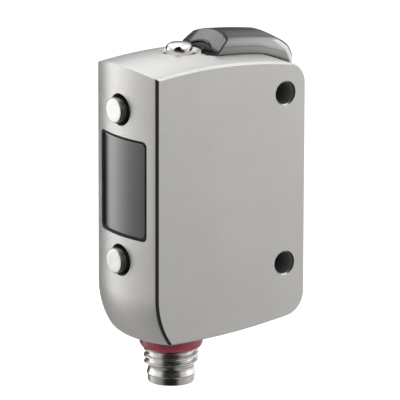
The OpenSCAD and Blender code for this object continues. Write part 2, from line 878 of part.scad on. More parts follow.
module image_sensor()
    color([0.2, 0.2, 0.25])
    block([block_x, -chip_w / 2, recv_z - chip_w / 2], [block_x + chip_t, chip_w / 2, recv_z + chip_w / 2]);

module sensor_board()
    color("darkgreen")
    block([sensor_board_x, cover_y + board_margin, eye_z - block_h / 2],
        [block_x, main_y, eye_z + block_h / 2]);

module main_board()
    color("green")
    difference() {
        block([main_x0, main_y, main_z0], [main_x1, main_y + board_t, main_z1]);
        for (p = screw_at)
            bar_y(main_y - 1, far, p[0], p[1], screw_d + 0.2);
    }

module board_screws()
    color("silver")
    for (p = screw_at) {
        bar_y(main_y - screw_head_t, main_y, p[0], p[1], screw_head_d);
        bar_y(main_y, main_y + board_t + screw_bite, p[0], p[1], screw_d);
    }

housing();
side_cover();
front_window();
window_seal();
display_window();
display_seal();
display_module();
display_board();
up_button();
down_button();
set_button();
up_button_seal();
down_button_seal();
set_button_seal();
up_switch();
down_switch();
set_switch();
up_plunger();
down_plunger();
set_plunger();
indicator_lens();
indicator_seal();
indicator_board();
indicator_leds();
connector_shell();
connector_insert();
contact_pin_1();
contact_pin_2();
contact_pin_3();
contact_pin_4();
connector_seal();
connector_board();
optics_block();
laser_diode();
collimator_lens();
receiver_lens();
image_sensor();
sensor_board();
main_board();
board_screws();
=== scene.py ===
"""Visual model of a laser distance sensor in a flat stainless case.

Lengths are in millimetres, in the finishes too, and the helpers turn them into Blender's metres. The
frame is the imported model's: the origin is on the connector's axis at its open end, +X points to the
detection face, -Y to the large face with the cover, +Z up.
"""

from __future__ import annotations

import json
import logging
import math
from dataclasses import dataclass, field, replace
from enum import Enum
from typing import Callable, ClassVar, Sequence

import bpy
import numpy as np
from bpy.types import Material, Mesh, Node, NodeSocket, NodeTree, Object
from mathutils import Matrix

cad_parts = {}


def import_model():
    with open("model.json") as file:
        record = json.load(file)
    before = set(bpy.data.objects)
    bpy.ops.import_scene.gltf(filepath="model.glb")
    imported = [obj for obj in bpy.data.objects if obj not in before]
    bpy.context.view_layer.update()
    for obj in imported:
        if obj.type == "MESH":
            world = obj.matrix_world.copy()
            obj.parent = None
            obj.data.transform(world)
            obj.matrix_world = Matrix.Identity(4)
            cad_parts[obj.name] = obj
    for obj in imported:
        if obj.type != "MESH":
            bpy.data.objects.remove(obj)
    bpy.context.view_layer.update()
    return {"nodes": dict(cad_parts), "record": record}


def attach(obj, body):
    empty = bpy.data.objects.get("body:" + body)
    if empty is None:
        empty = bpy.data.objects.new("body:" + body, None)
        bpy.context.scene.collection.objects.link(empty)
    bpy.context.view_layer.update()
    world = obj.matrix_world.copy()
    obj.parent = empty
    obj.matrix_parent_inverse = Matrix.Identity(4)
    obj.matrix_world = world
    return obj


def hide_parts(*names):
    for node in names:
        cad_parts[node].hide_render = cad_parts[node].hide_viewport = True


logging.basicConfig(level=logging.INFO, format="%(name)s: %(message)s")
log = logging.getLogger("sensor")

MM = 0.001
SHARP_DEG = 38.0
Triple = tuple[float, float, float]
Stops = Sequence[tuple[float, str]]


def corners_rounded(path: Sequence, radius: float | Sequence, steps: int = 7, closed: bool = True) -> np.ndarray:
    """Rounds the corners of a path with circular arcs.

    Each corner is cut back by radius / tan(half its angle) along both sides, and a rational quadratic
    curve with the sine of the half angle as its weight, which is a true circular arc, joins the cuts.

    Args:
        path: Corner points, shape (n, 2).
        radius: One radius, or one for each corner.
        steps: Points on each arc.
        closed: Whether the last corner joins the first. The ends of an open path stay as they are.

    Returns:
        The points of the rounded path.
    """
    path, radius = np.asarray(path, float), np.asarray(radius, float)
    before, after = np.roll(path, 1, 0) - path, np.roll(path, -1, 0) - path
    long_b, long_a = np.linalg.norm(before, axis=1), np.linalg.norm(after, axis=1)
    before, after = before / long_b[:, None], after / long_a[:, None]
    half = 0.5 * np.arccos(np.clip((before * after).sum(1), -1.0, 1.0))
    cut = np.minimum(radius / np.tan(half), 0.48 * np.minimum(long_a, long_b))
    if not closed:
        cut[[0, -1]] = 0.0
    t = np.linspace(0.0, 1.0, steps)[None, :, None]
    start, end = (path + before * cut[:, None])[:, None], (path + after * cut[:, None])[:, None]
    weight = np.sin(half)[:, None, None] * 2.0 * t * (1.0 - t)
    arc = (1.0 - t) ** 2 * start + weight * path[:, None] + t**2 * end
    arc = arc / ((1.0 - t) ** 2 + weight + t**2)
    if closed:
        return arc.reshape(-1, 2)
    return np.concatenate([path[:1], arc[1:-1].reshape(-1, 2), path[-1:]])


def loop_filled(path: np.ndarray, step: float) -> np.ndarray:
    """Divides the long sides of a closed path evenly, so that no side is longer than step.

    Args:
        path: Points of the loop, shape (n, 2).
        step: Longest side wanted.

    Returns:
        The loop with the added points.
    """
    ends = np.roll(path, -1, 0)
    counts = np.maximum(1, np.ceil(np.linalg.norm(ends - path, axis=1) / step).astype(int))
    index = np.repeat(np.arange(len(path)), counts)
    share = (np.arange(len(index)) - np.repeat(np.cumsum(counts) - counts, counts)) / counts[index]
    return path[index] + (ends - path)[index] * share[:, None]


def rectangle(x: float, z: float, width: float, height: float, radius: float, steps: int = 7) -> np.ndarray:
    """A rectangle with round corners about the point x, z, counter-clockwise."""
    corners = np.array([[-1, -1], [1, -1], [1, 1], [-1, 1]]) * np.array([width, height]) / 2.0
    return corners_rounded(corners + np.array([x, z]), radius, steps)


def shade(mesh: Mesh, sharp_deg: float = SHARP_DEG) -> None:
    """Smooths a mesh and keeps its edges that turn by more than sharp_deg."""
    mesh.polygons.foreach_set("use_smooth", np.ones(len(mesh.polygons), bool))
    mesh.set_sharp_from_angle(angle=math.radians(sharp_deg))
    mesh.update()


def piece_from(name: str, points: np.ndarray, faces: list[np.ndarray], sharp_deg: float = SHARP_DEG) -> Object:
    """Makes a bare mesh object with its place in its mesh.

    Args:
        name: The piece's name.
        points: Vertices, shape (n, 3).
        faces: Arrays of vertex indices, one array for each number of corners.
        sharp_deg: Edges that turn by more than this stay sharp.

    Returns:
        The new object, linked to the scene.
    """
    mesh = bpy.data.meshes.new(name)
    mesh.from_pydata(np.asarray(points, float) * MM, [], [row.tolist() for part in faces for row in part])
    shade(mesh, sharp_deg)
    piece = bpy.data.objects.new(name, mesh)
    bpy.context.scene.collection.objects.link(piece)
    return piece


def grid_faces(rows: int, cols: int) -> np.ndarray:
    """Quads of a grid of rows by cols points, joined round its columns."""
    r, c = np.meshgrid(np.arange(rows - 1), np.arange(cols), indexing="ij")
    a, b = r * cols + c, r * cols + (c + 1) % cols
    return np.stack([a, b, b + cols, a + cols], -1).reshape(-1, 4)


class Ends(Enum):
    """How a skin of rings ends."""

    FLAT = "a flat face on the first ring and the last"
    POINT = "the first ring and the last are points"
    JOINED = "the last ring joins the first, as a gasket's does"


def skin(name: str, rings: np.ndarray, ends: Ends = Ends.FLAT, flip: bool = False,
         sharp_deg: float = SHARP_DEG) -> Object:
    """Joins rings into one closed skin.

    Args:
        name: The piece's name.
        rings: Points, shape (rings, points in a ring, 3).
        ends: How the skin ends.
        flip: Turns the faces the other way.
        sharp_deg: Edges that turn by more than this stay sharp.

    Returns:
        The new object.
    """
    body = rings[1:-1] if ends is Ends.POINT else rings
    rows, cols, _ = body.shape
    points, low = body.reshape(-1, 3), np.arange(cols)
    high = low + (rows - 1) * cols
    if ends is Ends.JOINED:
        parts = [grid_faces(rows + 1, cols) % (rows * cols)]
    elif ends is Ends.FLAT:
        parts = [grid_faces(rows, cols), low[None, ::-1], high[None]]
    else:
        points = np.concatenate([points, rings[[0, -1], 0]])
        tip = np.full(cols, rows * cols)
        parts = [grid_faces(rows, cols), np.stack([tip, np.roll(low, -1), low], -1),
                 np.stack([tip + 1, high, np.roll(high, -1)], -1)]
    return piece_from(name, points, [part[:, ::-1] if flip else part for part in parts], sharp_deg)


class Axis(Enum):
    """The axis that a turned or drawn piece is made along, as the order of (across, across, along)."""

    X = (1, 2, 0)
    Y = (2, 0, 1)
    Z = (0, 1, 2)

    def points(self, first: np.ndarray, second: np.ndarray, along: np.ndarray) -> np.ndarray:
        """Points from their two cross coordinates and their place along the axis."""
        made = np.empty((*np.broadcast_shapes(first.shape, second.shape, along.shape), 3))
        for column, value in zip(self.value, (first, second, along)):
            made[..., column] = value
        return made


def turned(name: str, profile: Sequence, centre: tuple[float, float], axis: Axis, steps: int = 96) -> Object:
    """Turns a profile of (radius, place along the axis) round an axis, as a lathe does.

    A point at angle a has the two cross coordinates centre + radius * (cos a, sin a). A profile that
    starts and ends on the axis gives a closed piece, and so does one that comes back to its start.

    Args:
        name: The piece's name.
        profile: Radius and place along the axis, shape (n, 2), with the outside on the right of its way.
        centre: Where the axis crosses the two other coordinates.
        axis: The axis.
        steps: Points round the axis.

    Returns:
        The new object.
    """
    profile = np.asarray(profile, float)
    joined = bool(np.allclose(profile[0], profile[-1]))
    angle = np.linspace(0.0, 2.0 * np.pi, steps, endpoint=False)
    radius, along = (profile[:-1] if joined else profile).T[..., None]
    rings = axis.points(centre[0] + radius * np.cos(angle), centre[1] + radius * np.sin(angle), along)
    return skin(name, rings, Ends.JOINED if joined else Ends.POINT)


def drawn(name: str, outline: np.ndarray, low: float, high: float, axis: Axis, bevel: float = 0.0) -> Object:
    """Draws an outline along an axis from low to high.

    Args:
        name: The piece's name.
        outline: Loop in the two cross coordinates, counter-clockwise, shape (n, 2).
        low: Start along the axis.
        high: End along the axis.
        axis: The axis.
        bevel: Size of the bevel at both ends.

    Returns:
        The new object.
    """
    middle = outline.mean(0)
    span = np.abs(outline - middle).max(0)
    along, inset = np.array([[low, bevel], [low + bevel, 0.0], [high - bevel, 0.0], [high, bevel]]).T[..., None]
    if not bevel:
        along, inset = along[::3], inset[::3]
    flat = middle + (outline - middle) * (1.0 - inset[..., None] / span)
    return skin(name, axis.points(flat[..., 0], flat[..., 1], along))


def ray_skin(name: str, centre: Triple, span: Triple, field_at: Callable[[np.ndarray], np.ndarray],
             rows: int = 130, cols: int = 300) -> Object:
    """Closes a skin round a solid that is given as a field, negative inside and positive outside.

    A ray runs from the centre through each point of a sphere's grid, stretched by span. Even steps
    find the first place where the field turns positive, and halving finds the surface itself.

    Args:
        name: The piece's name.
        centre: A point from which the whole surface is seen.
        span: How far the sphere is stretched along each axis.
        field_at: The field at points of shape (..., 3).
        rows: Rings between the poles.
        cols: Points in a ring.

    Returns:
        The new object.
    """
    theta = np.linspace(np.pi, 0.0, rows + 2)[:, None]
    phi = np.linspace(0.0, 2.0 * np.pi, cols, endpoint=False)
    ray = Axis.Z.points(np.sin(theta) * np.cos(phi), np.sin(theta) * np.sin(phi), np.cos(theta)) * span
    low = np.zeros(ray.shape[:2])
    open_yet, step = np.ones_like(low, bool), 0.06
    for number in range(1, 50):
        open_yet &= field_at(centre + ray * (number * step)) < 0.0
        low = np.where(open_yet, number * step, low)
    high = low + step
    for _ in range(20):
        middle = 0.5 * (low + high)
        inside = field_at(centre + ray * middle[..., None]) < 0.0
        low, high = np.where(inside, middle, low), np.where(inside, high, middle)
    return skin(name, centre + ray * low[..., None], Ends.POINT)


class Carving(Enum):
    """What a carving tool does, by the modifier's word for it."""

    AWAY = "DIFFERENCE"
    JOIN = "UNION"


def carve(piece: Object, tool: Object, how: Carving = Carving.AWAY) -> None:
    """Cuts a tool out of a piece or joins it on, and uses the tool up.

    Args:
        piece: The piece that stays.
        tool: The solid that is used up.
        how: What the tool does.
    """
    cut = piece.modifiers.new("cut", "BOOLEAN")
    cut.object, cut.operation, cut.solver = tool, how.value, "EXACT"
    bpy.context.view_layer.update()
    solid = bpy.data.meshes.new_from_object(piece.evaluated_get(bpy.context.evaluated_depsgraph_get()))
    piece.modifiers.clear()
    old, piece.data = piece.data, solid
    solid.name = piece.name
    bpy.data.meshes.remove(old)
    bpy.data.objects.remove(tool)
    shade(solid)


def linear(code: str) -> tuple[float, float, float, float]:
    """Turns an sRGB hex colour such as A0B0C0 into linear red, green, blue and an alpha of one."""
    value = np.array([int(code[i : i + 2], 16) for i in (0, 2, 4)]) / 255.0
    value = np.where(value <= 0.04045, value / 12.92, ((value + 0.055) / 1.055) ** 2.4)
    return (*value.tolist(), 1.0)


def add(tree: NodeTree, kind: str, links: dict | None = None, stops: Stops = (), **settings: object) -> Node:
    """Adds a shader node with its settings and links.

    Args:
        tree: The node tree.
        kind: The node's type, after ShaderNode.
        links: Input name or number to an output, to a node, of which the first live output is taken,
            or to a plain value.
        stops: Places and sRGB hex colours of a colour ramp.
        settings: Attributes of the node.

    Returns:
        The new node.
    """
    new = tree.nodes.new(f"ShaderNode{kind}")
    for key, value in settings.items():
        setattr(new, key, value)
    for key, value in (links or {}).items():
        if isinstance(value, Node):
            value = next(output for output in value.outputs if output.enabled)
        if isinstance(value, NodeSocket):
            tree.links.new(value, new.inputs[key])
        else:
            new.inputs[key].default_value = value
    while stops and len(new.color_ramp.elements) < len(stops):
        new.color_ramp.elements.new(1.0)
    for number, (place, code) in enumerate(stops):
        element = new.color_ramp.elements[number]
        element.position, element.color = place, linear(code)
    return new


def mask_stops(first: float, second: float, third: float, fourth: float) -> Stops:
    """A ramp's stops: black up to the first place, white from the second to the third, black from the fourth."""
    return list(zip((first, second, third, fourth), ("000000", "FFFFFF", "FFFFFF", "000000")))


def blank(name: str) -> tuple[Material, NodeTree]:
    """A new material and its empty node tree."""
    made = bpy.data.materials.new(name)
    made.use_nodes = True
    made.node_tree.nodes.clear()
    return made, made.node_tree


def off_axis(tree: NodeTree, place: NodeSocket, centre: Triple, across: Triple) -> Node:
    """Adds the distance in metres from an axis: the length of the offset from its centre, across it.

    Args:
        tree: The node tree.
        place: The place on the piece.
        centre: A point on the axis.
        across: The two coordinates across the axis, as one or zero each.

    Returns:
        The node that gives the distance.
    """
    off = add(tree, "VectorMath", {0: place, 1: [v * MM for v in centre]}, operation="SUBTRACT")
    flat = add(tree, "VectorMath", {0: off, 1: across}, operation="MULTIPLY")
    return add(tree, "VectorMath", {0: flat}, operation="LENGTH")


def lay(tree: NodeTree, socket: NodeSocket, share: object, tone: object, how: str = "MIX") -> None:
    """Lays a tone over the one that a colour socket has so far.

    Args:
        tree: The node tree.
        socket: The socket, which something is linked to.
        share: How much of the new tone shows.
        tone: The new tone.
        how: How Blender's Mix node blends the two.
    """
    both = {0: share, 6: socket.links[0].from_socket, 7: tone}
    tree.links.new(add(tree, "Mix", both, data_type="RGBA", blend_type=how).outputs[2], socket)


@dataclass(frozen=True)
class Finish:
    """A finish made by one process, whose surface detail comes from noise at a real size.

    Attributes:
        name: Material and process.
        colour: sRGB hex of the surface.
        colour_b: sRGB hex that it varies to.
        patch: Size of the colour's variation.
        metallic: One for bare metal, a little less where pits scatter the light, else zero.
        rough: Mean roughness.
        rough_var: How far the roughness varies.
        grain: Size of the surface's grain.
        relief: Height of the grain.
        ior: Index of refraction, left at Blender's value for metal.
        coat: Weight of a clear top layer.
        coat_rough: Roughness of that layer.
        through: Share of light let through.
    """

    name: str
    colour: str
    colour_b: str
    patch: float = 4.0
    metallic: float = 0.0
    rough: float = 0.5
    rough_var: float = 0.06
    grain: float = 0.3
    relief: float = 0.01
    ior: float = 1.5
    coat: float = 0.0
    coat_rough: float = 0.1
    through: float = 0.0

    def build(self) -> Material:
        """Makes the material.

        Returns:
            The new material, with the detail of its own kind.
        """
        made, tree = blank(self.name)
        place = add(tree, "TexCoord").outputs["Object"]
        wide = add(tree, "TexNoise", {"Vector": place, "Scale": 1.0 / (self.patch * MM), "Detail": 3.0})
        fine = add(tree, "TexNoise", {"Vector": place, "Scale": 1.0 / (self.grain * MM), "Detail": 2.0})
        tone = add(tree, "ValToRGB", {0: wide}, [(0.3, self.colour), (0.7, self.colour_b)])
        rough = add(tree, "MapRange", {"Value": wide, "To Min": self.rough - self.rough_var,
                                       "To Max": self.rough + self.rough_var})
        bump = add(tree, "Bump", {"Height": self.height(tree, place, fine), "Strength": 1.0,
                                  "Distance": self.relief * MM})
        surface = add(tree, "BsdfPrincipled", {
            "Base Color": tone, "Metallic": self.metallic, "Roughness": rough, "Normal": bump,
            "Coat Weight": self.coat, "Coat Roughness": self.coat_rough, "Transmission Weight": self.through})
        if not self.metallic:
            surface.inputs["IOR"].default_value = self.ior
        add(tree, "OutputMaterial", {"Surface": surface})
        self.detail(tree, surface, place)
        return made

    def height(self, tree: NodeTree, place: NodeSocket, grain: Node) -> Node:
        """The relief's height, which is the grain alone here."""
        return grain

    def detail(self, tree: NodeTree, surface: Node, place: NodeSocket) -> None:
        """Adds what only this kind of finish has, which is nothing here."""


@dataclass(frozen=True)
class TurnedFinish(Finish):
    """A lathe-turned finish: fine rings round an axis, under the grain.

    Attributes:
        centre: Where the axis crosses the plane across it.
        across: The two coordinates across the axis, as one or zero each.
        feed: Distance between the rings. Real ones are finer: this is as fine as shows.
        side: sRGB hex of the painted dark reflection on the turned side.
    """

    centre: Triple = (0.0, 0.0, 0.0)
    across: Triple = (1.0, 1.0, 0.0)
    feed: float = 0.12
    side: str = ""

    def along(self) -> Triple:
        """The direction of the axis."""
        return tuple(1.0 - v for v in self.across)

    def height(self, tree: NodeTree, place: NodeSocket, grain: Node) -> Node:
        """The rings' height: the sine of the distance from the axis plus the place along it, over the feed."""
        out = off_axis(tree, place, self.centre, self.across)
        along = add(tree, "VectorMath", {0: place, 1: self.along()}, operation="DOT_PRODUCT")
        total = add(tree, "Math", {0: out, 1: along})
        turns = add(tree, "Math", {0: total, 1: 2.0 * math.pi / (self.feed * MM)}, operation="MULTIPLY")
        return add(tree, "Math", {0: add(tree, "Math", {0: turns}, operation="SINE"), 1: grain})

    def detail(self, tree: NodeTree, surface: Node, place: NodeSocket) -> None:
        """Paints a dark reflection on the side, where the surface faces away from the axis."""
        if self.side:
            facing = add(tree, "NewGeometry").outputs["Normal"]
            along = add(tree, "VectorMath", {0: facing, 1: self.along()}, operation="DOT_PRODUCT")
            size = add(tree, "Math", {0: along}, operation="ABSOLUTE")
            share = add(tree, "ValToRGB", {0: size}, [(0.45, "FFFFFF"), (0.85, "000000")])
            # Painted dark reflection where the side faces away from the axis
            lay(tree, surface.inputs["Base Color"], share, linear(self.side))


@dataclass(frozen=True)
class BlastedFinish(Finish):
    """Blasted steel: satin lands with rough pits, painted shade in the drilled holes and a painted dark reflection on
    the bevel beside the display face.

    Attributes:
        pit: Size of the pits.
        pit_rough: How much rougher the pits are.
        bores: Where the axes of the two drilled holes cross the X-Z plane.
        radius: Radius of the holes.
        bore_shade_colour: sRGB hex of the painted shade on the holes' walls.
        bore_metal: How much of the holes' walls shines as metal; the rest is matte, which deepens their painted shade.
        bevel_reflection_colour: sRGB hex of the painted dark reflection on the bevel beside the display face.
    """

    pit: float = 0.06
    pit_rough: float = 0.5
    bores: tuple[Triple, ...] = ()
    radius: float = 1.6
    bore_shade_colour: str = "6E6D6C"
    bore_metal: float = 0.35
    bevel_reflection_colour: str = "5A5754"

    def detail(self, tree: NodeTree, surface: Node, place: NodeSocket) -> None:
        """Adds the pits, a painted dark reflection on the bevel that faces -X and -Y, and painted shade on the walls
        of the holes.
        """
        pits = add(tree, "TexNoise", {"Vector": place, "Scale": 1.0 / (self.pit * MM), "Detail": 1.0})
        deep = add(tree, "MapRange", {"Value": pits, "From Min": 0.52, "From Max": 0.6, "To Max": self.pit_rough})
        rough = add(tree, "Math", {0: surface.inputs["Roughness"].links[0].from_socket, 1: deep})
        tree.links.new(rough.outputs[0], surface.inputs["Roughness"])
        # Painted dark reflection on the bevel that faces -X and -Y
        facing = add(tree, "SeparateXYZ", {0: add(tree, "NewGeometry").outputs["Normal"]}).outputs
        turn = add(tree, "Math", {0: facing["Y"], 1: 1.0})
        front = add(tree, "ValToRGB", {0: turn}, mask_stops(0.1, 0.18, 0.45, 0.55))
        left = add(tree, "MapRange", {"Value": facing["X"], "From Min": -0.15, "From Max": -0.3})
        bevel_reflection_share = add(tree, "Math", {0: front, 1: left}, operation="MULTIPLY")
        lay(tree, surface.inputs["Base Color"], bevel_reflection_share, linear(self.bevel_reflection_colour))
        # Painted shade on the walls of the two holes, which also shine less as metal
        low, high = (off_axis(tree, place, bore, (1.0, 0.0, 1.0)) for bore in self.bores)
        nearest = add(tree, "Math", {0: low, 1: high}, operation="MINIMUM")
        inside = add(tree, "Math", {0: nearest, 1: (self.radius + 0.03) * MM}, operation="LESS_THAN")
        lay(tree, surface.inputs["Base Color"], inside, linear(self.bore_shade_colour))
        metal = add(tree, "Mix", {0: inside, 2: self.metallic, 3: self.bore_metal})
        tree.links.new(metal.outputs[0], surface.inputs["Metallic"])


@dataclass(frozen=True)
class BoardFinish(Finish):
    """A loaded circuit board: green mask over copper tracks, with pads where the tracks end.

    Attributes:
        track: Distance between tracks.
        pad_colour: sRGB hex of the gilt pads.
    """

    track: float = 0.9
    pad_colour: str = "C9A24A"

    def detail(self, tree: NodeTree, surface: Node, place: NodeSocket) -> None:
        """Adds the pads."""
        cells = add(tree, "TexVoronoi", {"Vector": place, "Scale": 1.0 / (self.track * MM), "Randomness": 0.35},
                    distance="CHEBYCHEV", feature="F1")
        copper = add(tree, "ValToRGB", {0: cells}, [(0.2, self.pad_colour), (0.26, self.colour)])
        pads = add(tree, "Math", {0: cells, 1: 0.24}, operation="LESS_THAN")
        lay(tree, surface.inputs["Base Color"], pads, copper)


@dataclass(frozen=True)
class SmokedFinish(Finish):
    """A thick smoked moulding that lets a little light through, with reflections, shade and highlights painted on it.

    Its sides have painted bands of reflection and shade by height over the top arch, and a painted light that grows to
    the far end. The roof has a painted dark reflection on its far half, a painted dark rim follows the front slope,
    and the cut corners of the end have a painted highlight.

    Attributes:
        axis: A point on the top arch's axis.
        foot: Radius of the cover's foot about that axis.
        half: Half the width of the roof.
        slope: A point on the upper front slope.
        slope_lean: How much X that slope goes for each Z.
        end: The point where the end's two upper slopes meet.
        end_leans: How much X they go for each Z.
    """

    axis: Triple = (0.0, 0.0, 0.0)
    foot: float = 1.0
    half: float = 1.0
    slope: Triple = (0.0, 0.0, 0.0)
    slope_lean: float = 0.0
    end: Triple = (0.0, 0.0, 0.0)
    end_leans: tuple[float, float] = (0.0, 0.0)

    def detail(self, tree: NodeTree, surface: Node, place: NodeSocket) -> None:
        """Paints the bands of reflection and shade, the dark reflection on the roof, the front slope's tone, its dark
        rim and the highlight at the end, and adds the duller gloss.
        """
        spot = add(tree, "SeparateXYZ", {0: place}).outputs
        facing = add(tree, "SeparateXYZ", {0: add(tree, "NewGeometry").outputs["Normal"]}).outputs
        base = surface.inputs["Base Color"]

        def band(value: object, low: float, high: float, stops: Stops) -> Node:
            """Tones over the part of a value between low and high."""
            part = add(tree, "MapRange", {"Value": value, "From Min": low, "From Max": high})
            return add(tree, "ValToRGB", {0: part}, stops)

        def past(point: Triple, lean: float, side: float) -> Node:
            """Distance in metres past a plane through a point that goes so much X for each Z."""
            off = add(tree, "VectorMath", {0: place, 1: [v * MM for v in point]}, operation="SUBTRACT")
            size = side / math.hypot(1.0, lean)
            return add(tree, "VectorMath", {0: off, 1: (size, 0.0, -lean * size)}, operation="DOT_PRODUCT")

        # The foot follows the case down to the corner by up to 1.02 mm, and so do the painted bands of reflection and
        # shade
        drop = add(tree, "MapRange", {"Value": spot["X"], "From Min": 12.7 * MM, "From Max": 18.7 * MM,
                                      "To Max": 1.02 * MM})
        height = add(tree, "Math", {0: off_axis(tree, place, self.axis, (1.0, 0.0, 1.0)), 1: drop})
        # Painted bands of reflection and shade on the sides, by height over the top arch
        bands = band(height, self.foot * MM, (self.foot + 2.2) * MM, [
            (0.0, "585858"), (0.1, "808080"), (0.2, "9A9A99"), (0.45, "A2A2A1"), (0.52, "8C8C8B"), (0.58, "B0B0AE"),
            (0.78, "C6C6C4"), (0.93, "BEBEBC")])
        tree.links.new(bands.outputs[0], base)
        # Painted dark reflection over the roof's far half
        above = band(facing["Z"], 0.4, 0.6, [(0.0, "000000"), (1.0, "FFFFFF")])
        half = self.half * MM
        lay(tree, base, above, band(spot["Y"], -half, half, [
            (0.0, "C0C0BE"), (0.035, "ACACAA"), (0.07, "787877"), (0.2, "7A7A79"), (0.29, "606060"), (0.37, "343434"),
            (0.5, "202020")]))
        # Painted light that grows towards the far end
        lay(tree, base, 1.0, band(spot["X"], 6.0 * MM, 16.5 * MM, [
            (0.0, "D0D0D0"), (0.6, "F0F0F0"), (1.0, "FFFFFF")]), "MULTIPLY")
        # Painted tone on the front slope, darker on its far edge
        front = band(facing["X"], -0.8, -0.5, mask_stops(0.2, 0.3, 0.8, 0.9))
        lay(tree, base, front, band(spot["Y"], -half, half, [
            (0.0, "909090"), (0.5, "A0A09F"), (0.82, "9A9A99"), (0.9, "383838")]))
        # Painted dark rim along the front slope
        rim = band(past(self.slope, self.slope_lean, 1.0), 0.0, 0.4 * MM, mask_stops(0.15, 0.25, 0.7, 0.95))
        lay(tree, base, rim, linear("242424"))
        # Painted highlight on the cut corners of the end, dimmed on the roof, with a painted dark line along the very
        # edge
        ends = [past(self.end, lean, -1.0) for lean in self.end_leans]
        inner = add(tree, "Math", {0: ends[0], 1: ends[1]}, operation="MINIMUM")
        light = band(inner, 0.0, 1.0 * MM, mask_stops(0.2, 0.35, 0.7, 1.0))
        dim = add(tree, "ValToRGB", {0: above}, [(0.0, "FFFFFF"), (1.0, "303030")])
        light = add(tree, "Mix", {0: 1.0, 6: light, 7: dim}, data_type="RGBA", blend_type="MULTIPLY")
        lay(tree, base, light, linear("F4F4F2"))
        lay(tree, base, band(inner, 0.0, 1.0 * MM, [(0.17, "FFFFFF"), (0.3, "000000")]), linear("4A4A49"))
        gloss = add(tree, "MapRange", {"Value": above, "To Min": 0.22, "To Max": 0.015})
        surface.inputs["Specular IOR Level"].default_value = 0.15
        tree.links.new(gloss.outputs[0], surface.inputs["Specular IOR Level"])


@dataclass
class Finishes:
    """All finishes, each made once when it is first asked for."""

    made: dict[str, Material] = field(default_factory=dict)

    def __getitem__(self, key: str) -> Material:
        """The material for a key of FINISHES."""
        if key not in self.made:
            self.made[key] = FINISHES[key].build()
        return self.made[key]


